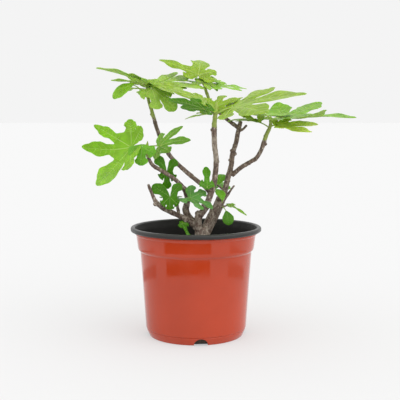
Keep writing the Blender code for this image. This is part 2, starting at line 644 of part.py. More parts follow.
def bend_blade(flat, spec):
    """Bend the flat blade: folded along the midrib, lobes lifted, drooping outward and arched."""
    x, y = flat[:, 0].copy(), flat[:, 1].copy()
    reach = np.hypot(x, y) + 1e-9
    angle = np.arctan2(x, y)
    z = spec["fold"] * (np.sqrt(x * x + 0.0025) - 0.05)
    spread = math.radians(LIFT_SPREAD)
    for lobe_angle, _, _, lift in lobes_of(spec):
        if lift:
            near = np.clip(np.abs(angle - lobe_angle) / spread, 0, 1)
            z = z + lift * np.cos(near * math.pi / 2) ** 2 * np.clip(reach - LIFT_START, 0, None) ** 2 * 1.8
    droop = spec["droop"]
    if abs(droop) > 1e-6:
        shrink = np.sin(droop * reach) / (droop * reach)
        x, y = x * shrink, y * shrink
        z = z - (1 - np.cos(droop * reach)) / droop
    arch = spec["arch"]
    if abs(arch) > 1e-6:
        turn = arch * y
        y, z = np.sin(turn) / arch + z * np.sin(turn), z * np.cos(turn) - (1 - np.cos(turn)) / arch
    return np.stack([x, y, z], axis=1)


def leaf_frame(spec):
    """The leaf's own axes as columns: to its right, along its midrib and out of its upper face."""
    heading, pitch, roll = (math.radians(spec[key]) for key in ("heading", "pitch", "roll"))
    level = math.cos(pitch)
    ahead = np.array([level * math.cos(heading), level * math.sin(heading), math.sin(pitch)])
    right = unit(np.cross(ahead, np.array([0.0, 0.0, 1.0])))
    above = np.cross(right, ahead)
    turned_right = right * math.cos(roll) - above * math.sin(roll)
    turned_above = above * math.cos(roll) + right * math.sin(roll)
    return np.stack([turned_right, ahead, turned_above], axis=1)


def vertex_normals(points, faces):
    """Normals of a sheet at its points."""
    normals = np.zeros_like(points)
    for face in faces:
        a, b, c = points[face[0]], points[face[1]], points[face[2]]
        normal = np.cross(b - a, c - a)
        for index in face:
            normals[index] += normal
    return normals / (np.linalg.norm(normals, axis=1)[:, None] + 1e-12)


def blade_solid(name, spec):
    """The leaf blade as a thin closed solid in its place."""
    flat, faces, edge = flat_blade(spec)
    sheet = bend_blade(flat, spec) * spec["length"]
    sheet = sheet @ leaf_frame(spec).T + np.array(spec["at"], dtype=float)
    normals = vertex_normals(sheet, faces)
    count = len(sheet)
    points = list(sheet + normals * BLADE_THICKNESS / 2) + list(sheet - normals * BLADE_THICKNESS / 2)
    solid = [list(face) for face in faces] + [[count + i for i in face][::-1] for face in faces]
    for i, start in enumerate(edge):
        end = edge[(i + 1) % len(edge)]
        solid.append([start, count + start, count + end, end])
    return mesh_object(name, points, solid)


def petiole_line(start, spec, radius):
    """The leaf stalk, from the stem to a little way along under the midrib."""
    frame = leaf_frame(spec)
    at = np.array(spec["at"], dtype=float)
    span = np.linalg.norm(at - start)
    bend = (start + at) / 2 + np.array([0, 0, 0.12 * span]) - frame[:, 1] * 0.12 * span
    stations = []
    for k in range(PETIOLE_STEPS):
        t = k / PETIOLE_STEPS
        point = (1 - t) ** 2 * start + 2 * t * (1 - t) * bend + t ** 2 * at
        stations.append([*point, radius * (1.15 - 0.25 * t)])
    flat = np.array([[0.0, 0.02], [0.0, BLADE_BURY]])
    under = bend_blade(flat, spec) * spec["length"] @ frame.T + at
    stations.append([*under[0], radius * 0.85])
    stations.append([*under[1], radius * 0.6])
    return stations


def point_on_line(line, part):
    """The point a part of the way along a line by length."""
    steps = np.linalg.norm(np.diff(line[:, :3], axis=0), axis=1)
    goal = part * steps.sum()
    for i, step in enumerate(steps):
        if goal <= step or i == len(steps) - 1:
            return line[i, :3] + (line[i + 1, :3] - line[i, :3]) * min(goal / step, 1.0)
        goal -= step
    return line[-1, :3]


def make_foliage(name, spec):
    """One foliage mass: its stem with every leaf stalk and blade fused on, cut clear of its bough."""
    line = np.array(spec["stem"], dtype=float)
    mass = tube(name, line, STEM_SIDES)
    pieces = []
    for entry in spec["leaves"]:
        start = point_on_line(line, entry["root"])
        radius = STALK_RADIUS + STALK_GROWTH * entry["length"]
        pieces.append(tube("stalk", petiole_line(start, entry, radius), PETIOLE_SIDES))
        pieces.append(blade_solid("blade", entry))
    combine(mass, pieces, "UNION")
    cutter = tube("cutter", limb_line(spec["grows_from"]), LIMB_SIDES, swell=JOINT_GAP)
    combine(mass, [cutter], "DIFFERENCE")
    tidy_mesh(mass)
    paint(mass, spec["surface"])


def main():
    """Build every node of the plant."""
    clear_scene()
    make_pot()
    make_soil()
    for name in LIMBS:
        make_limb(name)
    for name, spec in FOLIAGE.items():
        make_foliage(name, spec)


main()
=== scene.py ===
"""The looks of a young fig tree in a nursery pot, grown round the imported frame.

Sizes are in millimetres up to the point where a mesh is made, and metres from there.
The limbs and leaves follow the same named sizes as the solids, and are carried on to bark, veins and crumbs.
"""
import json
import math
import random

import bmesh
import bpy
import numpy as np
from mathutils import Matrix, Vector, noise
from mathutils.kdtree import KDTree

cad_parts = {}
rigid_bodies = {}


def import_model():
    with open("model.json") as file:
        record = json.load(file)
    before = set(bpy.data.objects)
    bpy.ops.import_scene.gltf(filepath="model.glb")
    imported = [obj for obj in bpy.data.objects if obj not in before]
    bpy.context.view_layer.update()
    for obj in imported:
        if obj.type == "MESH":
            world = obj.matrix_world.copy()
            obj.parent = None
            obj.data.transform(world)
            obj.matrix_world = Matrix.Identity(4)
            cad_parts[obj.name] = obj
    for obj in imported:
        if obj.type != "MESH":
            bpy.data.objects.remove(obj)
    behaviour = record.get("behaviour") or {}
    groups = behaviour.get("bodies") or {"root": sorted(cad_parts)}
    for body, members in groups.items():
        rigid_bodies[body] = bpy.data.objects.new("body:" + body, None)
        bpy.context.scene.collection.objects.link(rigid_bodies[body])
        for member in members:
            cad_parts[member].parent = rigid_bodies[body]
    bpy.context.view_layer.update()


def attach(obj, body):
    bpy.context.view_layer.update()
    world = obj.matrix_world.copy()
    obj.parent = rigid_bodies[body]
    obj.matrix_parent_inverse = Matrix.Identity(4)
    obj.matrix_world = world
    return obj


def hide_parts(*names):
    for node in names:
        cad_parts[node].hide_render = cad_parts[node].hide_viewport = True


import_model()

MILLIMETRE = 0.001

# The camera that took the photograph, in metres and radians
CAMERA_PLACE = (0.00585, -1.20, 0.32103)
CAMERA_DOWN = 0.10279
CAMERA_LENS = 74.75
CAMERA_SENSOR = 36.0

# The studio: its pale grey, the light from all round, and its soft lamps as direction, sharpness and strength
ROOM_GREY = 0.905
LIGHT_LEVEL = 0.80
LAMPS = [((0.0, 0.0, 1.0), 1.0, 0.70), ((0.78, -0.55, 0.30), 3.0, 1.25), ((-0.88, -0.40, 0.24), 6.0, 0.5)]
FLOOR_SHARE = 0.34
FLOOR_GLOW = 0.435
FLOOR_REACH = 30000.0

# Dark cards on the floor: from and to in degrees right of the front, and grey
CARDS = [(-58, 27, 0.02), (64, 112, 0.30), (-144, -84, 0.30)]
CARD_REACH = (366.0, 452.0)
CARD_STEPS = 24
CARD_HEIGHT = 1.0

# The pot
POT_HEIGHT = 159.0
FOOT_RADIUS = 68.5
GROOVE_RADIUS = 72.6
GROOVE_HEIGHT = 11.0
MIDDLE_RADIUS = 77.5
MIDDLE_HEIGHT = 75.0
WALL_TOP_RADIUS = 81.0
WALL_TOP_HEIGHT = 123.5
COLLAR_FOOT_RADIUS = 84.2
COLLAR_FOOT_HEIGHT = 128.0
COLLAR_TOP_RADIUS = 87.4
COLLAR_TOP_HEIGHT = 150.5
BEAD_SIZE = 1.1
RIM_RADIUS = 94.9
RIM_BAND = 6.5
RIM_MOUTH_RADIUS = 88.6
POT_WALL = 2.2
POT_FLOOR = 3.2
POT_SIDES = 192
SUPPORT_SPAN = 5.0
SUPPORT_REACH = 0.8
NOTCH_COUNT = 4
NOTCH_WIDTH = 20.0
NOTCH_HEIGHT = 10.0
NOTCH_INNER_RADIUS = 60.0
NOTCH_TURN = -84.0
NOTCH_OVERCUT = 3.0
NOTCH_STEPS = 24
POT_CREASE = 38
TERRACOTTA, RIM_BLACK, INSIDE_BLACK = range(3)

# The soil
SOIL_HEIGHT = 125.0
SOIL_GAP = 0.4
SOIL_RINGS = 46
SOIL_SIDES = 150
SOIL_SEED = 11
MOUND_HEIGHT = 2.2
MOUND_SPREAD = 900
CRUMB_COUNT = 620
CHIP_SHARE = 0.22
TRUNK_X = 10
TRUNK_CLEAR = 15

# The limbs and leaves
LIMB_SIDES = 20
LIMB_STEPS = 8
FIRST_SIDE = np.array([0.31, 0.95, 0.05])
BARK_VOXEL = 0.6
BARK_SEED = 7
TRUNK_FOOT_DEPTH = 5
TRUNK_FOOT_SIDES = 32
STALK_RADIUS = 0.55
STALK_GROWTH = 0.009
STALK_SIDES = 10
STALK_STEPS = 10
STALK_BEND = 0.12
BUD_SIDES = 14
BUD_SHAPE = [(-1.0, 0.9), (0.0, 1.12), (1.0, 1.22), (2.2, 1.05), (3.4, 0.7), (4.4, 0.36), (5.2, 0.06)]
LEAF_SEED = 3
BLADE_THICKNESS = 0.5
THIN_EDGE = 0.4
BLADE_BURY = 0.16
HALF_COLUMNS = 6
HUB_ROWS = 4
ROWS_BETWEEN = 3
SIDE_VEINS = (0.12, 0.28, 0.44, 0.59, 0.73, 0.86)
MAIN_VEIN = 0.0085
SIDE_VEIN = 0.0036
AXIS_LAG = 1.5
VEIN_BOW = 0.22
UPPER_GROOVES = (0.004, 0.0022)
LOWER_RIBS = (0.013, 0.004)
BULGE_HEIGHT = 0.0055
WAVE_HEIGHT = 0.012
LEAF_CREASE = 60
SCALLOP_COUNT = 4
SCALLOP_SIZE = 0.017
EDGE_STEPS = 12

# Each limb: stations of x, y, z and radius, from where it grows to its free end
LIMBS = {
    "trunk": [
        (10, 0, 125.4, 19), (10, 0, 129, 14.5), (9.5, 0, 137, 11.8), (8.5, 0, 147, 10.6), (7, 0, 157, 8.5),
    ],
    "bough_stump": [
        (10, 3, 146, 7.2), (18, 5, 163, 6.6), (25, 6, 178, 6.0), (31, 6, 189, 5.8), (36, 6, 200, 6.0),
    ],
    "bough_back": [
        (11, 6, 139, 6.2), (22, 14, 160, 5.5), (29, 18, 172, 4.9), (37, 21, 189, 4.4), (43, 24, 210, 4.2),
        (47, 26, 227, 4.1), (52, 28, 245, 3.8), (54, 29, 263, 3.6), (59, 30, 279, 3.4), (62, 31, 295, 3.3),
        (66, 32, 311, 3.1),
    ],
    "bough_centre": [
        (2, -2, 155, 6.2), (3, -7, 171, 5.6), (8, -10, 179, 5.0), (14, -11, 187, 4.6), (18, -11, 198, 4.4),
        (23, -12, 213, 4.3), (27, -14, 230, 4.0), (29, -17, 256, 3.8), (27, -19, 273, 3.7),
        (26, -21, 288, 3.8), (26, -23, 309, 3.7),
    ],
    "bough_left": [
        (3, 1, 157, 6.4), (-7, 2, 167, 5.8), (-13, 3, 176, 5.2), (-15, 3, 184, 4.9), (-13, 3, 193, 4.4),
        (-13, 2, 202, 3.9), (-17, -2, 213, 3.5), (-29, -8, 227, 3.0), (-44, -15, 238, 2.8),
        (-60, -21, 248, 2.6), (-66, -25, 257, 2.5), (-68, -27, 263, 2.5),
    ],
    "bough_left_low": [
        (1, -3, 160, 4.6), (-14, -6, 170, 4.0), (-32, -10, 179, 3.7), (-47, -14, 187, 3.6),
        (-57, -17, 196, 3.2), (-63, -20, 209, 2.3), (-68, -22, 222, 1.9),
    ],
    "bough_upper_left": [
        (22, -12, 207, 3.2), (12, -9, 218, 3.2), (0, -5, 227, 3.3), (-17, 0, 241, 3.2), (-35, 4, 258, 3.1),
        (-45, 6, 274, 3.0), (-54, 7, 293, 2.8), (-61, 6, 316, 2.8), (-65, 5, 331, 2.6),
    ],
    "bough_right": [
        (53, 28, 231, 3.4), (65, 24, 242, 3.3), (79, 20, 251, 3.2), (88, 17, 257, 3.1), (95, 13, 269, 3.1),
        (99, 10, 281, 3.3), (102, 8, 291, 3.0), (105, 6, 298, 2.9),
    ],
    "bough_top": [
        (63, 32, 301, 3.1), (49, 34, 311, 2.8), (34, 38, 324, 2.6), (22, 42, 336, 2.5), (16, 45, 353, 2.4),
    ],
    "twig_low_left": [(-24, -8, 174, 2.4), (-26, -4, 184, 2.2), (-28, -2, 195, 1.9)],
    "twig_stub": [(63, 31, 296, 2.2), (69, 31, 299, 1.9), (75, 31, 305, 1.6)],
    "twig_bare": [(37, 10, 190, 2.6), (44, 9, 201, 2.2), (51, 8, 211, 1.7), (56, 7, 218, 1.3)],
}

# The height above which a limb is still a green shoot
GREEN_ABOVE = {
    "bough_upper_left": 316, "bough_centre": 303, "bough_right": 283, "bough_left": 262, "bough_top": 338,
    "foliage_top": 0, "foliage_upper_left": 0, "foliage_left": 0, "foliage_centre": 0, "foliage_right": 0,
}
NEVER_GREEN = 1000.0

# Bark is grey low down and in one band of the centre bough
GREY_BELOW = 205.0
GREY_LOW = 0.30
GREY_BAND_HEIGHT = 272.0
GREY_BAND_REACH = 18.0
GREY_BAND = 0.75

# The stump's top is a cut face
CUT_ABOVE = 196
CUT_FACING_UP = 0.72

# Knobs where a shoot or leaf once was: x, y, z and radius
KNOBS = [
    (-58, -17, 193, 3.2), (-17, -2, 214, 3.9), (-40, 2, 268, 3.0), (3.5, -9, 178, 5.0), (52.4, 27, 268, 2.6),
    (58, 29, 263, 2.5), (50, 26, 254, 2.6), (22.8, -22, 299, 2.3), (101, 10, 278, 2.3), (-65, 6, 321, 1.7),
    (26, 6, 181, 6.4), (12, -12, 190, 4.6),
]

# A lobe's edge: how far each place is from its foot to its tip, and how wide, per half width
LOBE_EDGE = [(0.22, 0.66), (0.56, 1.0), (0.86, 0.62)]
POINTED_EDGE = [(0.20, 0.74), (0.50, 1.0), (0.84, 0.46)]
ROUND_EDGE = [(0.06, 0.55), (0.42, 1.0), (0.82, 0.74)]

# Leaf outlines: lobes as angle from the midrib, reach and half width, then sinus depths, all per leaf length
FORMS = {
    "five": ([(0, 1.0, 0.16), (50, 0.92, 0.16), (112, 0.58, 0.17)], [0.33, 0.28], 0.10, POINTED_EDGE),
    "broad": ([(0, 1.0, 0.18), (46, 0.90, 0.20), (104, 0.60, 0.20)], [0.42, 0.34], 0.10, LOBE_EDGE),
    "slim": ([(0, 1.0, 0.13), (42, 0.86, 0.12), (95, 0.50, 0.12)], [0.33, 0.26], 0.09, POINTED_EDGE),
    "three": ([(0, 1.0, 0.24), (62, 0.80, 0.22)], [0.46], 0.16, LOBE_EDGE),
    "seven": ([(0, 1.0, 0.15), (40, 0.92, 0.15), (85, 0.70, 0.15), (128, 0.45, 0.14)],
              [0.44, 0.36, 0.28], 0.10, POINTED_EDGE),
    "round": ([(0, 1.0, 0.44)], [], 0.10, ROUND_EDGE),
}
PETIOLE_SINUS_ANGLE = 168.0
LOBE_CLEAR = 0.02
SINUS_SHARE = 0.75
LIFT_START = 0.25
LIFT_SPREAD = 46
LIFT_GAIN = 1.8
FOLD_SOFT = 0.05
FOLD_SOFT_SQUARED = 0.0025


def leaf(at, heading, pitch, roll, length, form, arch=0.25, droop=0.4, fold=0.1, root=0.5,
         swing=None, lift=None, broad=None, reach=None, tint="fresh"):
    """One leaf: where its stalk meets it, how it is turned, its length and how it bends."""
    return {
        "at": at, "heading": heading, "pitch": pitch, "roll": roll, "length": length, "form": form,
        "arch": arch, "droop": droop, "fold": fold, "root": root, "tint": tint,
        "swing": swing or {}, "lift": lift or {}, "broad": broad or {}, "reach": reach or {},
    }


# Each foliage mass: its stem, then its leaves. root is how far up the stem a leaf stalk starts
FOLIAGE = {
    "foliage_top": {
        "stem": [(16, 45, 351, 2.4), (13, 47, 363, 2.2), (11, 48, 372, 1.6), (10, 48, 377, 0.8)],
        "leaves": [
            leaf((3, 45, 379), 96, 40, 14, 66, "five", droop=0.3, swing={0: 12, -1: -16, 1: 6},
                 reach={1: 0.6, 2: 0.65, -1: 1.05, -2: 0.65}, broad={0: 1.4, 1: 0.9, 2: 0.7, -2: 0.7},
                 root=0.75, tint="lime"),
            leaf((10, 52, 374), 350, -24, 26, 30, "broad", fold=0.2, broad={"all": 1.1}, root=0.6,
                 tint="pale"),
            leaf((28, 55, 363), 14, 5, 16, 52, "slim", droop=0.1, broad={"all": 1.2},
                 reach={-1: 0.6, -2: 0.5}, root=0.3, tint="fresh"),
            leaf((6, 66, 370), 96, 6, 0, 52, "broad", droop=0.1, reach={-2: 0.7}, root=0.3),
        ],
    },
    "foliage_upper_left": {
        "stem": [(-65, 5, 329, 2.4), (-69, 3, 345, 2.2), (-70, 2, 356, 2.0), (-69, 1, 364, 0.9)],
        "leaves": [
            leaf((-74, -2, 368), 178, 26, 10, 72, "five", arch=0.30, droop=0.1, fold=0.0,
                 reach={1: 0.55, -1: 0.4, 2: 0.5, -2: 0.5}, broad={0: 1.3}, root=0.85, tint="pale"),
            leaf((-74, -10, 364), 184, 12, 12, 47, "slim", arch=0.1, droop=0.1, broad={"all": 1.2},
                 reach={1: 0.6, -1: 0.6}, root=0.7, tint="fresh"),
            leaf((-90, -16, 363), 182, -24, -50, 35, "round", arch=0.1, broad={0: 0.66}, root=0.3,
                 tint="fresh"),
            leaf((-60, 22, 364), 8, 3, 21, 76, "slim", arch=0.14, droop=0.12, swing={-2: 43, -1: 7},
                 reach={-2: 1.65, -1: 1.1, 1: 0.8, 2: 0.5}, broad={0: 1.3, -1: 1.2, -2: 1.1}, root=0.8,
                 tint="pale"),
            leaf((-63, 2, 365), 354, -12, 16, 64, "slim", droop=0.1, swing={-1: 12, 1: -10},
                 reach={1: 0.8, 2: 0.5, -2: 0.6}, broad={0: 1.4, 1: 1.3, -1: 1.2}, root=0.9, tint="lime"),
            leaf((-62, -10, 357), 350, -34, 52, 46, "broad", droop=0.2, fold=0.0, swing={-1: 16, 1: -6},
                 reach={-1: 0.72, -2: 0.7, 1: 0.78, 2: 0.8}, broad={0: 1.5, 1: 1.1, 2: 0.65, -2: 0.65},
                 root=0.6, tint="pale"),
            leaf((-72, 22, 358), 100, 2, 0, 58, "broad", droop=0.1, root=0.5, tint="fresh"),
        ],
    },
    "foliage_left": {
        "stem": [(-68, -27, 262, 2.4), (-69, -28, 268, 2.2), (-69, -29, 274, 2.0), (-68, -30, 281, 0.9)],
        "leaves": [
            leaf((-91, -30, 275), 148, -20, -64, 72, "seven", arch=0.02, droop=-0.1, fold=0.3,
                 swing={0: 12, 1: 2, 2: 17, 3: 12, -1: -8, -2: -18},
                 lift={0: 0.25, 1: 0.12, -2: 0.1}, broad={0: 0.9, 1: 0.7, -1: 2.3, 2: 1.15, 3: 1.2, -2: 1.4},
                 reach={-1: 1.06, -2: 0.9, 2: 0.76, -3: 0.8}, root=0.8, tint="fresh"),
            leaf((-75, -40, 276), 262, -64, 0, 27, "three", arch=0.1, droop=0.4, broad={"all": 1.5}, root=0.5,
                 tint="green"),
            leaf((-51, -36, 277), 40, 20, -51, 51, "slim", arch=0.3, droop=0.33, broad={"all": 1.2},
                 reach={-1: 0.7}, root=0.7, tint="green"),
            leaf((-66, -12, 268), 112, 4, 0, 42, "broad", root=0.4, tint="green"),
        ],
    },
    "foliage_centre": {
        "stem": [(26, -23, 307, 3.4), (27, -24, 317, 3.2), (28, -25, 326, 2.8), (29, -25, 334, 1.0)],
        "leaves": [
            leaf((13, -36, 339), 176, 27, -14, 58, "slim", droop=0.1, swing={-1: 10},
                 reach={1: 0.5, 2: 0.5, -1: 0.8}, broad={0: 1.5, -1: 1.3}, root=0.7, tint="lime"),
            leaf((13, -46, 328), 182, 23, 26, 52, "five", droop=0.1, swing={-1: 14, 1: -16},
                 reach={-2: 0.5, 2: 0.5, -1: 0.6, 1: 0.8}, broad={0: 1.6, 1: 1.2}, root=0.6, tint="deep"),
            leaf((28, -14, 330), 68, 45, -2, 40, "broad", arch=0.19, root=0.85, tint="lime"),
            leaf((51, -30, 330), 342, 20, 18, 107, "slim", arch=0.03, droop=0.35, swing={-1: -4, 1: 8},
                 reach={-1: 0.86}, broad={0: 1.6, -1: 1.5, 1: 1.5}, root=0.5, tint="lime"),
            leaf((22, -12, 322), 170, -2, -8, 40, "slim", droop=0.1, broad={0: 1.3}, root=0.4, tint="pale"),
            leaf((38, 4, 328), 356, 4, 8, 40, "slim", droop=0.1, broad={"all": 1.3}, root=0.3, tint="pale"),
        ],
    },
    "foliage_right": {
        "stem": [(105, 6, 297, 2.8), (107, 5, 303, 2.6), (108, 4, 309, 2.2), (108, 3, 317, 0.9)],
        "leaves": [
            # This leaf's tint is a darker copy of fresh, painted shade for a leaf that faces the light
            leaf((130, 20, 317), 350, 3, 9, 103, "five", arch=0.0, droop=0.1, swing={-1: -6, -2: 6},
                 lift={-1: 0.08, -2: 0.5, 1: 0.2, 2: 0.3}, broad={0: 0.95, -2: 1.2}, reach={-1: 0.95},
                 root=0.75, tint="fresh_painted_shade"),
            # This leaf's tint is painted light, for the light that comes through the big leaf above it
            leaf((118, 4, 306), 12, 3, 22, 62, "slim", arch=0.0, droop=0.1, reach={-1: 0.6, -2: 0.5, 2: 0.5},
                 broad={0: 1.4, 1: 1.5}, root=0.3, tint="painted_glow"),
            leaf((96, 6, 324), 220, 16, -25, 36, "five", arch=0.38, droop=0.8, root=0.8, tint="lime"),
            leaf((86, 22, 311), 172, 12, -10, 42, "five", droop=0.2, fold=0.2, reach={2: 0.5, -2: 0.5},
                 root=0.2, tint="lime"),
            leaf((106, 26, 320), 95, 8, 0, 56, "broad", droop=0.1, lift={2: 0.3, -2: 0.3}, root=0.6),
        ],
    },
    "foliage_inner": {
        "stem": [(-30, -8, 227, 1.5), (-36, -1, 231, 1.4), (-41, 6, 236, 1.2)],
        "leaves": [
            leaf((-42, -2.5, 239), 270, -88, 0, 26, "broad", arch=0.1, droop=0.2, fold=0.2,
                 swing={2: 42, -2: -38}, reach={1: 0.6, -1: 0.7, 2: 1.75, -2: 1.4},
                 broad={0: 1.4, 1: 1.2, -1: 1.2, 2: 1.55, -2: 1.4}, root=1.0, tint="deep"),
        ],
    },
    "foliage_low_left": {
        "stem": [(-28, -2, 194, 1.7), (-29, -3, 198, 1.5), (-31, -5, 201, 1.2)],
        "leaves": [
            leaf((-37, -23, 204), 268, -84, 0, 30, "broad", arch=0.1, droop=0.2, fold=0.05,
                 swing={2: 20, -2: -38}, reach={0: 0.6, 1: 0.6, -1: 0.6, 2: 1.7, -2: 1.35},
                 broad={0: 1.3, 2: 1.5, -2: 1.2}, root=1.0, tint="deep"),
            leaf((-33, 8, 198), 110, 20, 0, 26, "broad", root=0.5, tint="deep"),
        ],
    },
    "foliage_middle": {
        "stem": [(-13, 2, 198, 1.6), (-11, -11, 202, 1.4), (-9, -24, 203, 1.2)],
        "leaves": [
            leaf((-8, -27, 203), 350, -13, 28, 36, "broad", arch=0.32, droop=0.16, fold=0.3,
                 swing={-1: -4, 2: 8}, lift={-2: 0.3}, reach={-1: 0.8}, root=1.0, tint="blue_green"),
        ],
    },
    "foliage_stem": {
        "stem": [(22, -12, 212, 1.6), (19, -19, 213, 1.5), (16, -24, 217, 1.2)],
        "leaves": [
            leaf((16, -24, 219), 92, 72, 8, 32, "three", droop=0.2, reach={1: 0.42, -1: 0.46},
                 broad={0: 0.75, 1: 0.8, -1: 0.8}, root=1.0, tint="dark"),
        ],
    },
    "foliage_behind": {
        "stem": [(42, 24, 210, 1.6), (36, 28, 213, 1.5), (31, 30, 217, 1.2)],
        "leaves": [
            leaf((33, 32, 218), 60, 60, 5, 21, "round", root=1.0, tint="green"),
            leaf((33, 40, 214), 122, 24, 0, 34, "broad", root=0.6, tint="green"),
        ],
    },
    "foliage_pale": {
        "stem": [(36, 4, 197, 1.6), (38, -3, 197, 1.5), (38, -8, 195, 1.2)],
        "leaves": [leaf((38, -11, 199), 112, 62, 5, 21, "round", broad={0: 0.85}, root=1.0, tint="green")],
    },
    "foliage_low_right": {
        "stem": [(31, 6, 186, 1.7), (38, 1, 187, 1.5), (44, -1, 189, 1.3)],
        "leaves": [
            # This leaf's tint is a darker copy of fresh, painted shade for a strongly lit leaf
            leaf((48, 2, 190), 338, -19, 10, 31, "three", droop=0.1, broad={0: 0.5, 1: 0.5, -1: 0.5},
                 reach={1: 0.38, -1: 0.42}, root=1.0, tint="fresh_painted_shade"),
            leaf((44, -8, 181), 300, -58, 12, 20, "round", arch=0.1, root=0.6, tint="deep"),
        ],
    },
    "foliage_base": {
        "stem": [(-14, -6, 170, 1.6), (-16, -13, 167, 1.5), (-18, -19, 165, 1.2)],
        "leaves": [
            leaf((-20, -22, 166), 322, -48, 8, 30, "three", droop=0.1, broad={0: 0.5, 1: 0.5, -1: 0.5},
                 reach={1: 0.4, -1: 0.45}, root=1.0, tint="deep"),
        ],
    },
}

# Leaf colours by tint: upper face and lower face; two tints, marked below, are painted shade and painted
# light
TINTS = {
    "lime": ((0.18, 0.29, 0.006), (0.26, 0.39, 0.030)),
    "fresh": ((0.18, 0.36, 0.014), (0.26, 0.42, 0.05)),
    # A darker copy of fresh: painted shade for leaves that face the light
    "fresh_painted_shade": ((0.14, 0.29, 0.010), (0.22, 0.35, 0.04)),
    "green": ((0.12, 0.31, 0.018), (0.18, 0.35, 0.05)),
    "dark": ((0.075, 0.235, 0.008), (0.12, 0.28, 0.03)),
    "deep": ((0.055, 0.185, 0.002), (0.09, 0.24, 0.015)),
    "blue_green": ((0.09, 0.24, 0.05), (0.15, 0.30, 0.08)),
    # Painted light: a bright yellow green for a leaf in the shade of the one above, standing in for the light
    # that comes through that leaf
    "painted_glow": ((0.50, 0.62, 0.10), (0.50, 0.62, 0.14)),
    "pale": ((0.23, 0.36, 0.045), (0.30, 0.43, 0.08)),
}
VEIN_LIGHTER = 0.30
VEIN_PALE = (0.62, 0.72, 0.30)
STALK_GREEN = (0.30, 0.42, 0.06)
POT_RED = (0.40, 0.040, 0.010)
POT_DARK = (0.012, 0.011, 0.010)

# Bark and soil: colours from dark to light, roughness and depth of the relief
BARKS = {
    "bark_brown": ([(0.075, 0.048, 0.037), (0.14, 0.094, 0.070), (0.23, 0.17, 0.13)], 0.72, 0.5),
    "bark_grey": ([(0.17, 0.13, 0.10), (0.28, 0.23, 0.18), (0.42, 0.36, 0.30)], 0.75, 0.5),
    "shoot_green": ([(0.17, 0.22, 0.03), (0.24, 0.31, 0.05), (0.30, 0.34, 0.08)], 0.5, 0.15),
    "cut_wood": ([(0.28, 0.19, 0.12), (0.40, 0.29, 0.19)], 0.85, 0.4),
}
SOILS = {
    "soil_brown": ([(0.012, 0.009, 0.006), (0.03, 0.02, 0.012), (0.05, 0.034, 0.022)], 0.9, 0.5),
    "soil_chip": ([(0.05, 0.03, 0.018), (0.10, 0.06, 0.035)], 0.85, 0.4),
}
BROWN, GREY, GREEN, CUT = range(4)


def unit(vector):
    """The vector at length one."""
    return vector / np.linalg.norm(vector)


def mesh_piece(name, points, faces, materials, kinds=None, sharp=None):
    """A smooth mesh object from points in millimetres, its faces' materials by number."""
    mesh = bpy.data.meshes.new(name)
    mesh.from_pydata(np.asarray(points, dtype=float) * MILLIMETRE, [], faces)
    for material in materials:
        mesh.materials.append(material)
    if kinds is not None:
        mesh.polygons.foreach_set("material_index", np.asarray(kinds, dtype=np.int32))
    mesh.shade_smooth()
    if sharp is not None:
        mesh.set_sharp_from_angle(angle=math.radians(sharp))
    piece = bpy.data.objects.new(name, mesh)
    bpy.context.collection.objects.link(piece)
    return piece


def give(piece, slot, *nodes):
    """Let a piece stand for nodes of the frame and ride on the plant's one body."""
    if nodes:
        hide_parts(*nodes)
    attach(piece, "root")


# Materials
def principled(name, colour, roughness, **settings):
    """A material of one Principled shader with the settings on its own sockets."""
    material = bpy.data.materials.new(name)
    material.use_nodes = True
    shader = material.node_tree.nodes["Principled BSDF"]
    shader.inputs["Base Color"].default_value = (*colour, 1.0)
    shader.inputs["Roughness"].default_value = roughness
    for socket, value in settings.items():
        shader.inputs[socket.replace("_", " ")].default_value = value
    return material


def noise_field(material, scale, detail, stretch=(1.0, 1.0, 1.0)):
    """A noise texture in the object's own coordinates, with scale features to the metre."""
    nodes, links = material.node_tree.nodes, material.node_tree.links
    place = nodes.new("ShaderNodeTexCoord")
    turn = nodes.new("ShaderNodeMapping")
    turn.inputs["Scale"].default_value = stretch
    field = nodes.new("ShaderNodeTexNoise")
    field.inputs["Scale"].default_value = scale
    field.inputs["Detail"].default_value = detail
    links.new(place.outputs["Object"], turn.inputs["Vector"])
    links.new(turn.outputs["Vector"], field.inputs["Vector"])
    return field


def mottle(material, field, colours, low=0.35, high=0.65):
    """Colour the surface between colours by a noise field."""
    nodes, links = material.node_tree.nodes, material.node_tree.links
    ramp = nodes.new("ShaderNodeValToRGB")
    marks = ramp.color_ramp.elements
    marks[0].position = low
    marks[1].position = high
    marks[0].color = (*colours[0], 1.0)
    marks[1].color = (*colours[-1], 1.0)
    for k, colour in enumerate(colours[1:-1], 1):
        mark = marks.new(low + (high - low) * k / (len(colours) - 1))
        mark.color = (*colour, 1.0)
    links.new(field.outputs["Fac"], ramp.inputs["Fac"])
    links.new(ramp.outputs["Color"], nodes["Principled BSDF"].inputs["Base Color"])


def roughen(material, field, low, high):
    """Vary the roughness between low and high by a noise field."""
    nodes, links = material.node_tree.nodes, material.node_tree.links
    spread = nodes.new("ShaderNodeMapRange")
    spread.inputs["From Min"].default_value = 0.3
    spread.inputs["From Max"].default_value = 0.7
    spread.inputs["To Min"].default_value = low
    spread.inputs["To Max"].default_value = high
    links.new(field.outputs["Fac"], spread.inputs["Value"])
    links.new(spread.outputs["Result"], nodes["Principled BSDF"].inputs["Roughness"])


def relief(material, field, strength, depth):
    """Raise a fine bump by a noise field, depth in millimetres."""
    nodes, links = material.node_tree.nodes, material.node_tree.links
    bump = nodes.new("ShaderNodeBump")
    bump.inputs["Strength"].default_value = strength
    bump.inputs["Distance"].default_value = depth * MILLIMETRE
    links.new(field.outputs["Fac"], bump.inputs["Height"])
    links.new(bump.outputs["Normal"], nodes["Principled BSDF"].inputs["Normal"])


def shade(colour, factor):
    """A colour made darker or lighter by a factor."""
    return tuple(min(channel * factor, 1.0) for channel in colour)


def blend_colours(one, other, share):
    """A share of the way from one colour to another."""
    return tuple(a + (b - a) * share for a, b in zip(one, other))


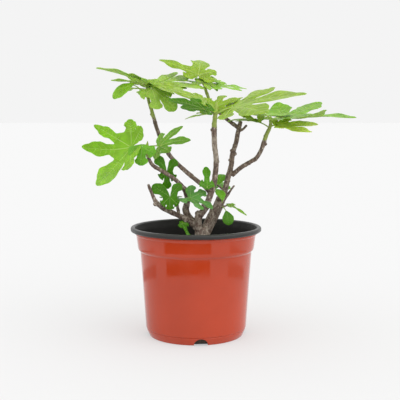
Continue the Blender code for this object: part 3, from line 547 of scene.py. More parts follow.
def leaf_material(name, colour, roughness, spread, bump):
    """Living leaf: light passes a little way through it, and its colour and gloss vary softly."""
    material = principled(name, colour, roughness, Subsurface_Weight=0.55, Subsurface_Scale=0.002,
                          Specular_IOR_Level=0.18)
    material.node_tree.nodes["Principled BSDF"].inputs["Subsurface Radius"].default_value = (0.7, 1.0, 0.2)
    tones = [shade(colour, 1 - spread), colour, shade(colour, 1 + spread)]
    mottle(material, noise_field(material, 70, 4), tones)
    grain = noise_field(material, 900, 3)
    roughen(material, grain, roughness - 0.06, roughness + 0.08)
    relief(material, grain, 0.25, bump)
    return material


def make_leaf_materials():
    """For each tint its upper face, lower face, upper vein and lower vein."""
    made = {}
    for tint, (upper, lower) in TINTS.items():
        upper_vein = blend_colours(upper, VEIN_PALE, VEIN_LIGHTER)
        lower_vein = blend_colours(lower, VEIN_PALE, VEIN_LIGHTER)
        made[tint] = [
            leaf_material(f"leaf_{tint}_upper", upper, 0.40, 0.14, 0.12),
            leaf_material(f"leaf_{tint}_lower", lower, 0.60, 0.10, 0.20),
            leaf_material(f"leaf_{tint}_vein_upper", upper_vein, 0.42, 0.06, 0.05),
            leaf_material(f"leaf_{tint}_vein_lower", lower_vein, 0.5, 0.06, 0.05),
        ]
    return made


def make_stalk_material():
    """Leaf stalks and buds, smooth yellow green."""
    material = principled("stalk_green", STALK_GREEN, 0.42, Subsurface_Weight=0.2, Subsurface_Scale=0.001)
    tones = [shade(STALK_GREEN, 0.8), STALK_GREEN, shade(STALK_GREEN, 1.15)]
    mottle(material, noise_field(material, 160, 3), tones)
    relief(material, noise_field(material, 1200, 2), 0.3, 0.1)
    return material


def bark_material(name, colours, roughness, depth):
    """Bark: streaked and mottled colours with fine pores."""
    material = principled(name, colours[0], roughness)
    mottle(material, noise_field(material, 330, 6, (1.0, 1.0, 0.45)), colours, 0.34, 0.66)
    grain = noise_field(material, 1500, 5, (1.0, 1.0, 0.5))
    roughen(material, grain, roughness - 0.1, roughness + 0.1)
    relief(material, grain, 0.6, depth)
    return material


def make_pot_outside():
    """Glossy terracotta-coloured plastic, with the faint waves of a drawn sheet."""
    material = principled("pot_terracotta", POT_RED, 0.09, IOR=1.5)
    mottle(material, noise_field(material, 14, 3), [shade(POT_RED, 0.94), POT_RED, shade(POT_RED, 1.06)])
    roughen(material, noise_field(material, 60, 4), 0.06, 0.13)
    relief(material, noise_field(material, 28, 2), 0.12, 0.4)
    return material


def make_pot_black(name, roughness, gloss):
    """Dark plastic of the inside or of the rolled rim."""
    material = principled(name, POT_DARK, roughness, Specular_IOR_Level=gloss)
    mottle(material, noise_field(material, 40, 4), [shade(POT_DARK, 0.8), shade(POT_DARK, 1.25)])
    roughen(material, noise_field(material, 120, 4), roughness - 0.06, roughness + 0.08)
    relief(material, noise_field(material, 60, 3), 0.3, 0.3)
    return material


# The leaves: outline, grid of veins, bending and thickness
def curve_through(stations, steps):
    """Points on a smooth curve through the stations, whatever number of values each has."""
    data = np.array(stations, dtype=float)
    padded = np.vstack([2 * data[0] - data[1], data, 2 * data[-1] - data[-2]])
    out = []
    for i in range(1, len(padded) - 2):
        p0, p1, p2, p3 = padded[i - 1:i + 3]
        for k in range(steps):
            t = k / steps
            out.append(0.5 * (2 * p1 + (p2 - p0) * t + (2 * p0 - 5 * p1 + 4 * p2 - p3) * t ** 2
                              + (3 * p1 - p0 - 3 * p2 + p3) * t ** 3))
    out.append(data[-1])
    return np.array(out)


def lobes_of(spec):
    """The lobes of a leaf from its left base round to its right base: angle, reach, half width and lift."""
    half = FORMS[spec["form"]][0]
    lobes = []
    for index in range(1 - len(half), len(half)):
        angle, reach, width = half[abs(index)]
        angle = math.copysign(angle, index) if index else 0.0
        angle = math.radians(angle + spec["swing"].get(index, 0))
        reach = reach * spec["reach"].get(index, 1.0)
        width = width * spec["broad"].get(index, spec["broad"].get("all", 1.0))
        lobes.append((angle, reach, width, spec["lift"].get(index, 0.0)))
    return lobes


def toward(angle):
    """A unit vector in the blade at an angle to the right of the midrib."""
    return np.array([math.sin(angle), math.cos(angle)])


def lobe_edge(lobe, side, places, depth, limit):
    """The places along one side of a lobe, out from the depth of the sinus beside it and inside its limit."""
    angle, reach, width, _ = lobe
    room = abs(limit - angle) - LOBE_CLEAR
    edge = []
    for u, v in places:
        along, aside = depth + (reach - depth) * u, v * width
        turn = min(math.atan2(aside, along), room)
        edge.append(toward(angle + side * turn) * math.hypot(along, aside))
    return edge


def outline_chains(spec):
    """For each lobe its left and right edge, from the sinus at its foot to its tip."""
    lobes = lobes_of(spec)
    _, depths, notch, places = FORMS[spec["form"]]
    depths = list(reversed(depths)) + list(depths)
    depths = [min(depth, SINUS_SHARE * min(lobes[i][1], lobes[i + 1][1])) for i, depth in enumerate(depths)]
    limits = [-math.radians(PETIOLE_SINUS_ANGLE)]
    limits += [(lobes[i][0] + lobes[i + 1][0]) / 2 for i in range(len(depths))]
    limits += [math.radians(PETIOLE_SINUS_ANGLE)]
    depths = [notch] + depths + [notch]
    feet = [toward(limit) * depth for limit, depth in zip(limits, depths)]
    chains = []
    for i, lobe in enumerate(lobes):
        tip = toward(lobe[0]) * lobe[1]
        left = [feet[i]] + lobe_edge(lobe, -1, places, depths[i], limits[i]) + [tip]
        right = [feet[i + 1]] + lobe_edge(lobe, 1, places, depths[i + 1], limits[i + 1]) + [tip]
        chains.append((left, right))
    return chains


def smooth_chains(spec):
    """The lobes' edges as one smooth line through sinuses and tips, cut at each of them."""
    chains = outline_chains(spec)
    loop = [chains[0][0][0]]
    for left, right in chains:
        loop += left[1:] + right[-2::-1]
    line = curve_through(loop, EDGE_STEPS)
    span = (len(chains[0][0]) - 1) * EDGE_STEPS
    return [
        (line[2 * i * span:(2 * i + 1) * span + 1], line[(2 * i + 1) * span:(2 * i + 2) * span + 1][::-1])
        for i in range(len(chains))
    ]


def at_shares(line, shares):
    """Points at shares of a line's length."""
    steps = np.linalg.norm(np.diff(line, axis=0), axis=1)
    along = np.concatenate([[0.0], np.cumsum(steps)]) / steps.sum()
    return np.stack([np.interp(shares, along, line[:, k]) for k in range(line.shape[1])], axis=1)


def row_plan():
    """The rows of a lobe: share of its edge, side of a side vein, and bulge between side veins."""
    rows = [(0.0, 0, 0.0)]
    marks = [0.0, *SIDE_VEINS, 1.0]
    for start, end in zip(marks, marks[1:]):
        for k in range(1, ROWS_BETWEEN + 1):
            part = k / (ROWS_BETWEEN + 1)
            rows.append((start + (end - start) * part, 0, math.sin(math.pi * part)))
        if end < 1.0:
            rows += [(end, -1, 0.0), (end, 1, 0.0)]
    return np.array(rows)


def lobe_grid(left, right):
    """One lobe laid flat: points by row and column, with each point's share across, side vein and bulge."""
    tip = left[-1]
    axis = unit(tip)
    plan = row_plan()
    shares, sides, bulges = plan[:, 0], plan[:, 1], plan[:, 2]
    hub_end = axis * max(float((left[0] + right[0]) / 2 @ axis), 0.04)
    hub = np.arange(1, HUB_ROWS)[:, None] / HUB_ROWS
    spine = np.vstack([hub * hub_end, hub_end + (tip - hub_end) * shares[:, None] ** AXIS_LAG])
    sides = np.concatenate([np.zeros(HUB_ROWS - 1), sides])
    bulges = np.concatenate([np.zeros(HUB_ROWS - 1), bulges])
    vein = MAIN_VEIN * (1 - 0.75 * np.concatenate([np.zeros(HUB_ROWS - 1), shares]))
    across = np.linspace(0, 1, HALF_COLUMNS)
    halves = []
    for line in (left, right):
        edge = at_shares(line, shares)
        outward = edge - spine[HUB_ROWS - 1:]
        outward /= np.linalg.norm(outward, axis=1)[:, None] + 1e-9
        wave = np.abs(np.sin(math.pi * SCALLOP_COUNT * shares)) * np.sin(math.pi * shares) ** 0.5
        edge = edge + outward * (wave * SCALLOP_SIZE)[:, None]
        edge = np.vstack([hub * line[0], edge])
        reach = edge - spine
        length = np.linalg.norm(reach, axis=1)
        near = spine + reach / length[:, None] * np.minimum(vein, 0.3 * length)[:, None]
        grid = near[:, None] + (edge - near)[:, None] * across[None, :, None]
        bow = VEIN_BOW * across * (1 - across)
        hub_free = np.concatenate([np.zeros(HUB_ROWS), np.ones(len(shares) - 1)])
        grid = grid - axis * (bow[None, :] * (length * hub_free)[:, None])[:, :, None]
        grid = np.concatenate([spine[:, None], grid], axis=1)
        taper = np.concatenate([[1.0], 1 - 0.7 * across])
        grid = grid + axis * (sides[:, None] * SIDE_VEIN * taper[None])[:, :, None]
        halves.append(grid)
    points = np.concatenate([halves[0][:, :0:-1], halves[1]], axis=1)
    share = np.concatenate([across[::-1], [-1.0], across])
    return points, share, sides, bulges, tip


def flat_blade(spec):
    """The whole blade laid flat: points, their facts, and faces with 1 for a vein and 0 for the rest."""
    points = [np.zeros((1, 2))]
    facts = [np.zeros((1, 4))]
    quads, tips, kinds, tip_kinds = [], [], [], []
    start = 1
    middle = HALF_COLUMNS
    for left, right in smooth_chains(spec):
        grid, share, sides, bulges, tip = lobe_grid(left, right)
        rows, columns = grid.shape[:2]
        number = start + np.arange(rows * columns).reshape(rows, columns)
        corners = [number[:-1, :-1], number[:-1, 1:], number[1:, 1:], number[1:, :-1]]
        quads.append(np.stack(corners, -1).reshape(-1, 4))
        on_side = (sides[:-1] < 0) & (sides[1:] > 0)
        on_main = np.zeros(columns - 1, dtype=bool)
        on_main[middle - 1:middle + 1] = True
        kinds.append((on_side[:, None] | on_main[None]).ravel())
        last = start + rows * columns
        fan = np.stack([number[-1, :-1], number[-1, 1:], np.full(columns - 1, last)], -1)
        core = np.stack([np.zeros(columns - 1, dtype=int), number[0, 1:], number[0, :-1]], -1)
        tips += [fan, core]
        tip_kinds += [on_main, on_main]
        inner = np.clip(share, 0, 1)
        fact = np.zeros((rows, columns, 4))
        fact[..., 0] = bulges[:, None] * np.sin(math.pi * inner)[None]
        fact[..., 1] = (share < 0)[None]
        fact[..., 2] = (np.abs(sides)[:, None]) * (1 - inner)[None]
        fact[..., 3] = inner[None]
        points += [grid.reshape(-1, 2), tip[None]]
        facts += [fact.reshape(-1, 4), np.array([[0, 0, 0, 1.0]])]
        start = last + 1
    points, facts = np.vstack(points), np.vstack(facts)
    _, first, again = np.unique(np.round(points, 6), axis=0, return_index=True, return_inverse=True)
    again = again.ravel()
    quads, tips = again[np.vstack(quads)], again[np.vstack(tips)]
    return points[first], facts[first], quads, tips, np.concatenate(kinds), np.concatenate(tip_kinds)


def bend_blade(flat, spec, rise=0.0):
    """Bend the flat blade: folded along the midrib, lobes lifted, drooping outward and arched."""
    x, y = flat[:, 0].copy(), flat[:, 1].copy()
    reach = np.hypot(x, y) + 1e-9
    angle = np.arctan2(x, y)
    z = spec["fold"] * (np.sqrt(x * x + FOLD_SOFT_SQUARED) - FOLD_SOFT) + rise
    spread = math.radians(LIFT_SPREAD)
    for lobe_angle, _, _, lift in lobes_of(spec):
        if lift:
            near = np.clip(np.abs(angle - lobe_angle) / spread, 0, 1)
            beyond = np.clip(reach - LIFT_START, 0, None) ** 2
            z = z + lift * np.cos(near * math.pi / 2) ** 2 * beyond * LIFT_GAIN
    droop = spec["droop"]
    if abs(droop) > 1e-6:
        shrink = np.sin(droop * reach) / (droop * reach)
        x, y = x * shrink, y * shrink
        z = z - (1 - np.cos(droop * reach)) / droop
    arch = spec["arch"]
    if abs(arch) > 1e-6:
        turn = arch * y
        y, z = np.sin(turn) / arch + z * np.sin(turn), z * np.cos(turn) - (1 - np.cos(turn)) / arch
    return np.stack([x, y, z], axis=1)


def leaf_frame(spec):
    """The leaf's own axes as columns: to its right, along its midrib and out of its upper face."""
    heading, pitch, roll = (math.radians(spec[key]) for key in ("heading", "pitch", "roll"))
    level = math.cos(pitch)
    ahead = np.array([level * math.cos(heading), level * math.sin(heading), math.sin(pitch)])
    right = unit(np.cross(ahead, np.array([0.0, 0.0, 1.0])))
    above = np.cross(right, ahead)
    turned_right = right * math.cos(roll) - above * math.sin(roll)
    turned_above = above * math.cos(roll) + right * math.sin(roll)
    return np.stack([turned_right, ahead, turned_above], axis=1)


def sheet_normals(points, quads, tips):
    """Normals of a sheet at its points."""
    normals = np.zeros_like(points)
    for faces, ends in ((quads, (0, 2, 1, 3)), (tips, (0, 1, 0, 2))):
        a, b, c, d = (points[faces[:, k]] for k in ends)
        cross = np.cross(b - a, d - c)
        for k in range(faces.shape[1]):
            np.add.at(normals, faces[:, k], cross)
    return normals / (np.linalg.norm(normals, axis=1)[:, None] + 1e-12)


def open_edges(faces):
    """The directed edges that only one face has."""
    directed = set()
    for face in faces:
        for k, start in enumerate(face):
            directed.add((start, face[(k + 1) % len(face)]))
    return [(a, b) for a, b in directed if (b, a) not in directed]


def blade(spec, luck):
    """A leaf blade as a thin closed sheet with veins: points, faces and each face's kind."""
    flat, facts, quads, tips, quad_kinds, tip_kinds = flat_blade(spec)
    bulge, on_main, on_side, across = facts.T
    phase = luck.uniform(0, 6.28)
    angle = np.arctan2(flat[:, 0], flat[:, 1])
    reach = np.hypot(flat[:, 0], flat[:, 1])
    wave = WAVE_HEIGHT * across ** 2 * np.sin(7 * angle + 11 * reach + phase) * np.clip(reach * 2, 0, 1)
    sheet = bend_blade(flat, spec, BULGE_HEIGHT * bulge + wave) * spec["length"]
    sheet = sheet @ leaf_frame(spec).T + np.array(spec["at"], dtype=float)
    normals = sheet_normals(sheet, quads, tips)
    fade = np.clip(1.1 - reach, 0.15, 1.0) * spec["length"]
    half = BLADE_THICKNESS / 2 * (1 - THIN_EDGE * (across > 0.99))
    upper = half - (UPPER_GROOVES[0] * on_main + UPPER_GROOVES[1] * on_side) * fade
    lower = half + (LOWER_RIBS[0] * on_main + LOWER_RIBS[1] * on_side) * fade
    points = np.vstack([sheet + normals * upper[:, None], sheet - normals * lower[:, None]])
    count = len(sheet)
    top = [tuple(face) for face in quads.tolist()] + [tuple(face) for face in tips.tolist()]
    top_kinds = [2 if vein else 0 for vein in np.concatenate([quad_kinds, tip_kinds])]
    bottom = [tuple(count + i for i in face[::-1]) for face in top]
    bottom_kinds = [kind + 1 for kind in top_kinds]
    rim = [(b, a, count + a, count + b) for a, b in open_edges(top)]
    return points, top + bottom + rim, top_kinds + bottom_kinds + [1] * len(rim)


def tube_part(line, sides):
    """Points and faces of a closed tube along a line of x, y, z and radius."""
    line = np.array(line, dtype=float)
    points = []
    side = FIRST_SIDE
    turns = np.arange(sides) * 2 * math.pi / sides
    for i, station in enumerate(line):
        ahead = unit(line[min(i + 1, len(line) - 1), :3] - line[max(i - 1, 0), :3])
        side = unit(side - ahead * float(side @ ahead))
        other = np.cross(ahead, side)
        ring = np.outer(np.cos(turns), side) + np.outer(np.sin(turns), other)
        points.append(station[:3] + station[3] * ring)
    faces = [tuple(range(sides))[::-1]]
    for i in range(len(line) - 1):
        for k in range(sides):
            a, b = i * sides + k, i * sides + (k + 1) % sides
            faces.append((a, b, b + sides, a + sides))
    faces.append(tuple((len(line) - 1) * sides + k for k in range(sides)))
    return np.vstack(points), faces


def petiole_line(start, spec, radius):
    """The leaf stalk, from the stem to a little way along under the midrib."""
    frame_axes = leaf_frame(spec)
    at = np.array(spec["at"], dtype=float)
    span = np.linalg.norm(at - start)
    bend = (start + at) / 2 + np.array([0, 0, STALK_BEND * span]) - frame_axes[:, 1] * STALK_BEND * span
    stations = []
    for k in range(STALK_STEPS):
        t = k / STALK_STEPS
        point = (1 - t) ** 2 * start + 2 * t * (1 - t) * bend + t ** 2 * at
        swell = 1.1 + 0.45 * (1 - min(t / 0.15, 1)) ** 2 - 0.3 * t
        stations.append([*point, radius * swell])
    along = np.array([0.02, 0.06, 0.1, BLADE_BURY, 1.6 * BLADE_BURY])
    under = bend_blade(np.stack([0 * along, along], axis=1), spec) * spec["length"]
    for k, point in enumerate(under):
        thin = radius * (0.8 - 0.15 * k)
        stations.append([*(frame_axes @ point + at - frame_axes[:, 2] * thin * 0.7), thin])
    return stations


def join_parts(parts):
    """Points, faces and kinds of many parts as one."""
    points, faces, kinds = [], [], []
    start = 0
    for part_points, part_faces, part_kinds in parts:
        points.append(part_points)
        faces += [tuple(start + i for i in face) for face in part_faces]
        kinds += list(part_kinds)
        start += len(part_points)
    return np.vstack(points), faces, kinds


def bud_line(stem):
    """The pointed bud at a shoot's end."""
    end, before = np.array(stem[-1][:3], dtype=float), np.array(stem[-2][:3], dtype=float)
    ahead = unit(end - before)
    radius = stem[-2][3]
    return [[*(before + ahead * radius * along), radius * wide] for along, wide in BUD_SHAPE]


def make_foliage(name, spec, materials, stalk_material, luck):
    """One foliage mass: its blades joined in one piece, its stalks and bud in another."""
    stem = curve_through(spec["stem"], 3)
    tints = []
    blades, stalks = [], []
    for entry in spec["leaves"]:
        if entry["tint"] not in tints:
            tints.append(entry["tint"])
        points, faces, kinds = blade(entry, luck)
        first = 4 * tints.index(entry["tint"])
        blades.append((points, faces, [first + kind for kind in kinds]))
        start = at_shares(stem[:, :3], np.array([entry["root"]]))[0]
        radius = STALK_RADIUS + STALK_GROWTH * entry["length"]
        part_points, part_faces = tube_part(petiole_line(start, entry, radius), STALK_SIDES)
        stalks.append((part_points, part_faces, [0] * len(part_faces)))
    if GREEN_ABOVE.get(name) == 0:
        part_points, part_faces = tube_part(curve_through(bud_line(spec["stem"]), 3), BUD_SIDES)
        stalks.append((part_points, part_faces, [0] * len(part_faces)))
    short = name.replace("foliage_", "")
    used = [material for tint in tints for material in materials[tint]]
    points, faces, kinds = join_parts(blades)
    leaves = mesh_piece("leaves_" + short, points, faces, used, kinds, LEAF_CREASE)
    give(leaves, "leaves", name)
    points, faces, kinds = join_parts(stalks)
    stalk = mesh_piece("stalks_" + short, points, faces, [stalk_material], kinds, LEAF_CREASE)
    give(stalk, "leaves", name)


# The bark: all limbs as one skin with swellings, rings, scars and fissures
def knob_part(knob):
    """A rough ball for a knob on a bough."""
    x, y, z, radius = knob
    work = bmesh.new()
    bmesh.ops.create_icosphere(work, subdivisions=3, radius=radius)
    points = np.array([vert.co[:] for vert in work.verts]) + np.array([x, y, z])
    faces = [tuple(vert.index for vert in face.verts) for face in work.faces]
    work.free()
    return points, faces, [0] * len(faces)


def limb_table():
    """Every limb and shoot as a smooth line, named."""
    lines = {name: curve_through(stations, LIMB_STEPS) for name, stations in LIMBS.items()}
    for name, spec in FOLIAGE.items():
        lines[name] = curve_through(spec["stem"], LIMB_STEPS)
    return lines


def bark_facts(lines):
    """For points along the limbs: limb name, place, distance from the foot, two axes and radius."""
    facts = []
    for name, line in lines.items():
        steps = np.linalg.norm(np.diff(line[:, :3], axis=0), axis=1)
        total = float(steps.sum())
        dense = at_shares(line, np.linspace(0, 1, max(int(total), 4)))
        side = FIRST_SIDE
        for i, station in enumerate(dense):
            ahead = unit(dense[min(i + 1, len(dense) - 1), :3] - dense[max(i - 1, 0), :3])
            side = unit(side - ahead * float(side @ ahead))
            along = total * i / (len(dense) - 1)
            facts.append((name, station[:3], along, side, np.cross(ahead, side), station[3]))
    return facts


def limb_length(facts, name):
    """The length of a limb."""
    return max(fact[2] for fact in facts if fact[0] == name)


def ring_places(name, total, luck):
    """Where the old leaf scars ring a limb: distance along it, turn round it and height of the scar."""
    spacing = 8.0 if "foliage" in name else 13.0
    places = []
    along = luck.uniform(4, 10)
    turn = luck.uniform(0, 6.28)
    while along < total:
        places.append((along, turn, luck.uniform(0.35, 0.75)))
        along += spacing * luck.uniform(0.7, 1.35)
        turn += 2.4
    return places


def bark_height(along, turn, radius, rings, rough):
    """How far the bark stands out at one place, in millimetres, by rings, scars and fissures."""
    height = 0.0
    for place, scar_turn, size in rings:
        away = along - place
        if abs(away) < 5:
            around = (turn - scar_turn + math.pi) % (2 * math.pi) - math.pi
            height += 0.28 * size * math.exp(-(away / 0.7) ** 2)
            height += size * min(radius / 4, 1.2) * math.exp(-(away / 1.7) ** 2 - (around / 0.6) ** 2)
            height -= 0.2 * size * math.exp(-((away + 1.6) / 0.7) ** 2 - (around / 0.8) ** 2)
    around_x, around_y = math.cos(turn) * radius, math.sin(turn) * radius
    fissure = noise.noise(Vector((around_x * 0.75, around_y * 0.75, along * 0.16)))
    pebble = noise.noise(Vector((around_x * 0.9 + 40, around_y * 0.9, along * 0.55)))
    return height + rough * (0.42 * fissure + 0.22 * pebble)


def bark_kind(name, place, normal_up):
    """Whether a place on the bark is brown, grey, green shoot or cut wood."""
    speck = noise.noise(place * 0.22)
    fine = noise.noise(place * 0.6 + Vector((30, 0, 0)))
    if place.z > GREEN_ABOVE.get(name, NEVER_GREEN) + 5 * speck + 2 * fine:
        return GREEN
    if name == "bough_stump" and place.z > CUT_ABOVE and normal_up > CUT_FACING_UP:
        return CUT
    grey_pull = GREY_LOW if place.z < GREY_BELOW else 0.0
    if name == "bough_centre" and abs(place.z - GREY_BAND_HEIGHT) < GREY_BAND_REACH:
        grey_pull = GREY_BAND
    return GREY if speck * 0.8 + fine * 0.6 + grey_pull > 0.3 else BROWN


def make_bark(materials):
    """One skin over the trunk, boughs, twigs and shoots."""
    luck = random.Random(BARK_SEED)
    lines = limb_table()
    parts = [(*tube_part(line, LIMB_SIDES), []) for line in lines.values()]
    parts += [knob_part(knob) for knob in KNOBS]
    foot = LIMBS["trunk"][0]
    below = (foot[0], foot[1], foot[2] - TRUNK_FOOT_DEPTH, foot[3])
    parts.append((*tube_part([below, foot], TRUNK_FOOT_SIDES), []))
    points, faces, _ = join_parts(parts)
    rough = mesh_piece("bark_rough", points, faces, [])
    remesh = rough.modifiers.new("skin", "REMESH")
    remesh.mode = "VOXEL"
    remesh.voxel_size = BARK_VOXEL * MILLIMETRE
    smooth = rough.modifiers.new("soften", "SMOOTH")
    smooth.factor = 0.5
    smooth.iterations = 5
    mesh = bpy.data.meshes.new_from_object(rough.evaluated_get(bpy.context.evaluated_depsgraph_get()))
    bpy.data.objects.remove(rough)
    facts = bark_facts(lines)
    tree = KDTree(len(facts))
    for i, fact in enumerate(facts):
        tree.insert(Vector(fact[1]), i)
    tree.balance()
    rings = {name: ring_places(name, limb_length(facts, name), luck) for name in lines}
    count = len(mesh.vertices)
    places, normals = np.zeros(3 * count), np.zeros(3 * count)
    mesh.vertices.foreach_get("co", places)
    mesh.vertex_normals.foreach_get("vector", normals)
    places, normals = places.reshape(-1, 3) / MILLIMETRE, normals.reshape(-1, 3)
    heights, kinds = np.zeros(count), np.zeros(count, dtype=np.int32)
    for i, place in enumerate(places):
        name, centre, along, side, other, radius = facts[tree.find(place)[1]]
        rel = place - centre
        turn = math.atan2(float(rel @ other), float(rel @ side))
        kinds[i] = bark_kind(name, Vector(place), normals[i, 2])
        heights[i] = bark_height(along, turn, radius, rings[name], 0.25 if kinds[i] == GREEN else 1.0)
    places = (places + normals * heights[:, None]) * MILLIMETRE
    mesh.vertices.foreach_set("co", places.ravel())
    mesh.name = "bark"
    for material in materials:
        mesh.materials.append(material)
    corner = np.zeros(len(mesh.polygons), dtype=np.int32)
    mesh.polygons.foreach_get("loop_start", corner)
    vertex = np.zeros(len(mesh.loops), dtype=np.int32)
    mesh.loops.foreach_get("vertex_index", vertex)
    mesh.polygons.foreach_set("material_index", kinds[vertex[corner]])
    mesh.shade_smooth()
    bark = bpy.data.objects.new("bark", mesh)
    bpy.context.collection.objects.link(bark)
    give(bark, "bark", *LIMBS)


# The pot and its soil
def lathe_part(profile, sides):
    """Points and faces turned from a profile of radius and height that starts and ends on the axis."""
    turns = np.arange(sides) * 2 * math.pi / sides
    points = [np.array([[0.0, 0.0, profile[0][1]]])]
    for radius, height in profile[1:-1]:
        ring = [radius * np.cos(turns), radius * np.sin(turns), np.full(sides, height)]
        points.append(np.stack(ring, axis=1))
    points.append(np.array([[0.0, 0.0, profile[-1][1]]]))
    rings = len(profile) - 2
    last = 1 + rings * sides
    faces = []
    for k in range(sides):
        following = (k + 1) % sides
        faces.append((0, 1 + following, 1 + k))
        for r in range(rings - 1):
            base = 1 + r * sides
            faces.append((base + k, base + following, base + sides + following, base + sides + k))
        base = 1 + (rings - 1) * sides
        faces.append((base + k, base + following, last))
    return np.vstack(points), faces


def rounded(corners, steps=4):
    """A profile with its corners turned into arcs. A corner is a radius, a height and the rounding's size."""
    out = []
    for i, (radius, height, size) in enumerate(corners):
        here = np.array([radius, height])
        if i in (0, len(corners) - 1) or size <= 0:
            out.append(tuple(here))
            continue
        back = np.array(corners[i - 1][:2]) - here
        on = np.array(corners[i + 1][:2]) - here
        reach = min(size, 0.45 * np.linalg.norm(back), 0.45 * np.linalg.norm(on))
        start, end = here + unit(back) * reach, here + unit(on) * reach
        for k in range(steps + 1):
            t = k / steps
            out.append(tuple((1 - t) ** 2 * start + 2 * t * (1 - t) * here + t ** 2 * end))
    return out


def supported(profile):
    """The section with a point close to each end of its long straights, so that they shade flat."""
    line = np.array(profile, dtype=float)
    out = [line[0]]
    for start, end in zip(line[:-1], line[1:]):
        span = np.linalg.norm(end - start)
        if span > SUPPORT_SPAN:
            step = (end - start) * SUPPORT_REACH / span
            out += [start + step, end - step]
        out.append(end)
    return out


def pot_profile():
    """The pot's section, from its underside up the outside, over the rim and down the inside."""
    under_rim = POT_HEIGHT - RIM_BAND
    outside = [
        (0, 0, 0), (FOOT_RADIUS - 3, 0, 0.5), (FOOT_RADIUS, 0, 1.2),
        (GROOVE_RADIUS - 1.0, GROOVE_HEIGHT - 4, 3),
        (GROOVE_RADIUS, GROOVE_HEIGHT - 0.7, 0.4), (GROOVE_RADIUS - 0.7, GROOVE_HEIGHT, 0.3),
        (GROOVE_RADIUS + 0.8, GROOVE_HEIGHT + 1.2, 0.8), (MIDDLE_RADIUS, MIDDLE_HEIGHT, 20),
        (WALL_TOP_RADIUS, WALL_TOP_HEIGHT, 1.0), (COLLAR_FOOT_RADIUS - 0.4, COLLAR_FOOT_HEIGHT - 1.6, 1.2),
        (COLLAR_FOOT_RADIUS + 0.4, COLLAR_FOOT_HEIGHT + 1.6, 1.8),
        (COLLAR_TOP_RADIUS - 0.5, COLLAR_TOP_HEIGHT - 3, 1.0),
        (COLLAR_TOP_RADIUS + BEAD_SIZE, COLLAR_TOP_HEIGHT - 1.8, 0.7),
        (COLLAR_TOP_RADIUS + BEAD_SIZE, COLLAR_TOP_HEIGHT, 0.7),
        (COLLAR_TOP_RADIUS + 0.6, COLLAR_TOP_HEIGHT + 0.8, 0.4), (RIM_RADIUS - 1.4, under_rim, 0.8),
        (RIM_RADIUS, under_rim + 1.2, 1.0), (RIM_RADIUS, POT_HEIGHT - 1.4, 1.6),
        (RIM_RADIUS - 1.8, POT_HEIGHT, 1.6),
        (RIM_MOUTH_RADIUS + 1.2, POT_HEIGHT, 1.2), (RIM_MOUTH_RADIUS, POT_HEIGHT - 1.6, 1.2),
    ]
    inside = [
        (COLLAR_TOP_RADIUS - POT_WALL, COLLAR_TOP_HEIGHT - 1, 2.5),
        (COLLAR_FOOT_RADIUS - POT_WALL, COLLAR_FOOT_HEIGHT + 1.5, 1.5),
        (WALL_TOP_RADIUS - POT_WALL, WALL_TOP_HEIGHT, 1.5), (MIDDLE_RADIUS - POT_WALL, MIDDLE_HEIGHT, 20),
        (GROOVE_RADIUS - POT_WALL, GROOVE_HEIGHT, 2), (GROOVE_RADIUS - POT_WALL - 1.6, POT_FLOOR, 1),
        (0, POT_FLOOR, 0),
    ]
    return supported(rounded(outside + inside))


def notch_part(index):
    """An arched block that cuts one notch through the foot."""
    arch = [(-NOTCH_WIDTH / 2, -NOTCH_OVERCUT)]
    for k in range(NOTCH_STEPS + 1):
        angle = math.pi * (1 - k / NOTCH_STEPS)
        arch.append((NOTCH_WIDTH / 2 * math.cos(angle), NOTCH_HEIGHT * math.sin(angle)))
    arch.append((NOTCH_WIDTH / 2, -NOTCH_OVERCUT))
    turn = math.radians(NOTCH_TURN + 360.0 * index / NOTCH_COUNT)
    out, across = (math.cos(turn), math.sin(turn)), (-math.sin(turn), math.cos(turn))
    points = [
        (out[0] * reach + across[0] * along, out[1] * reach + across[1] * along, height)
        for reach in (NOTCH_INNER_RADIUS, RIM_RADIUS) for along, height in arch
    ]
    count = len(arch)
    faces = [tuple(range(count))[::-1], tuple(count + k for k in range(count))]
    faces += [(k, (k + 1) % count, count + (k + 1) % count, count + k) for k in range(count)]
    return np.array(points), faces


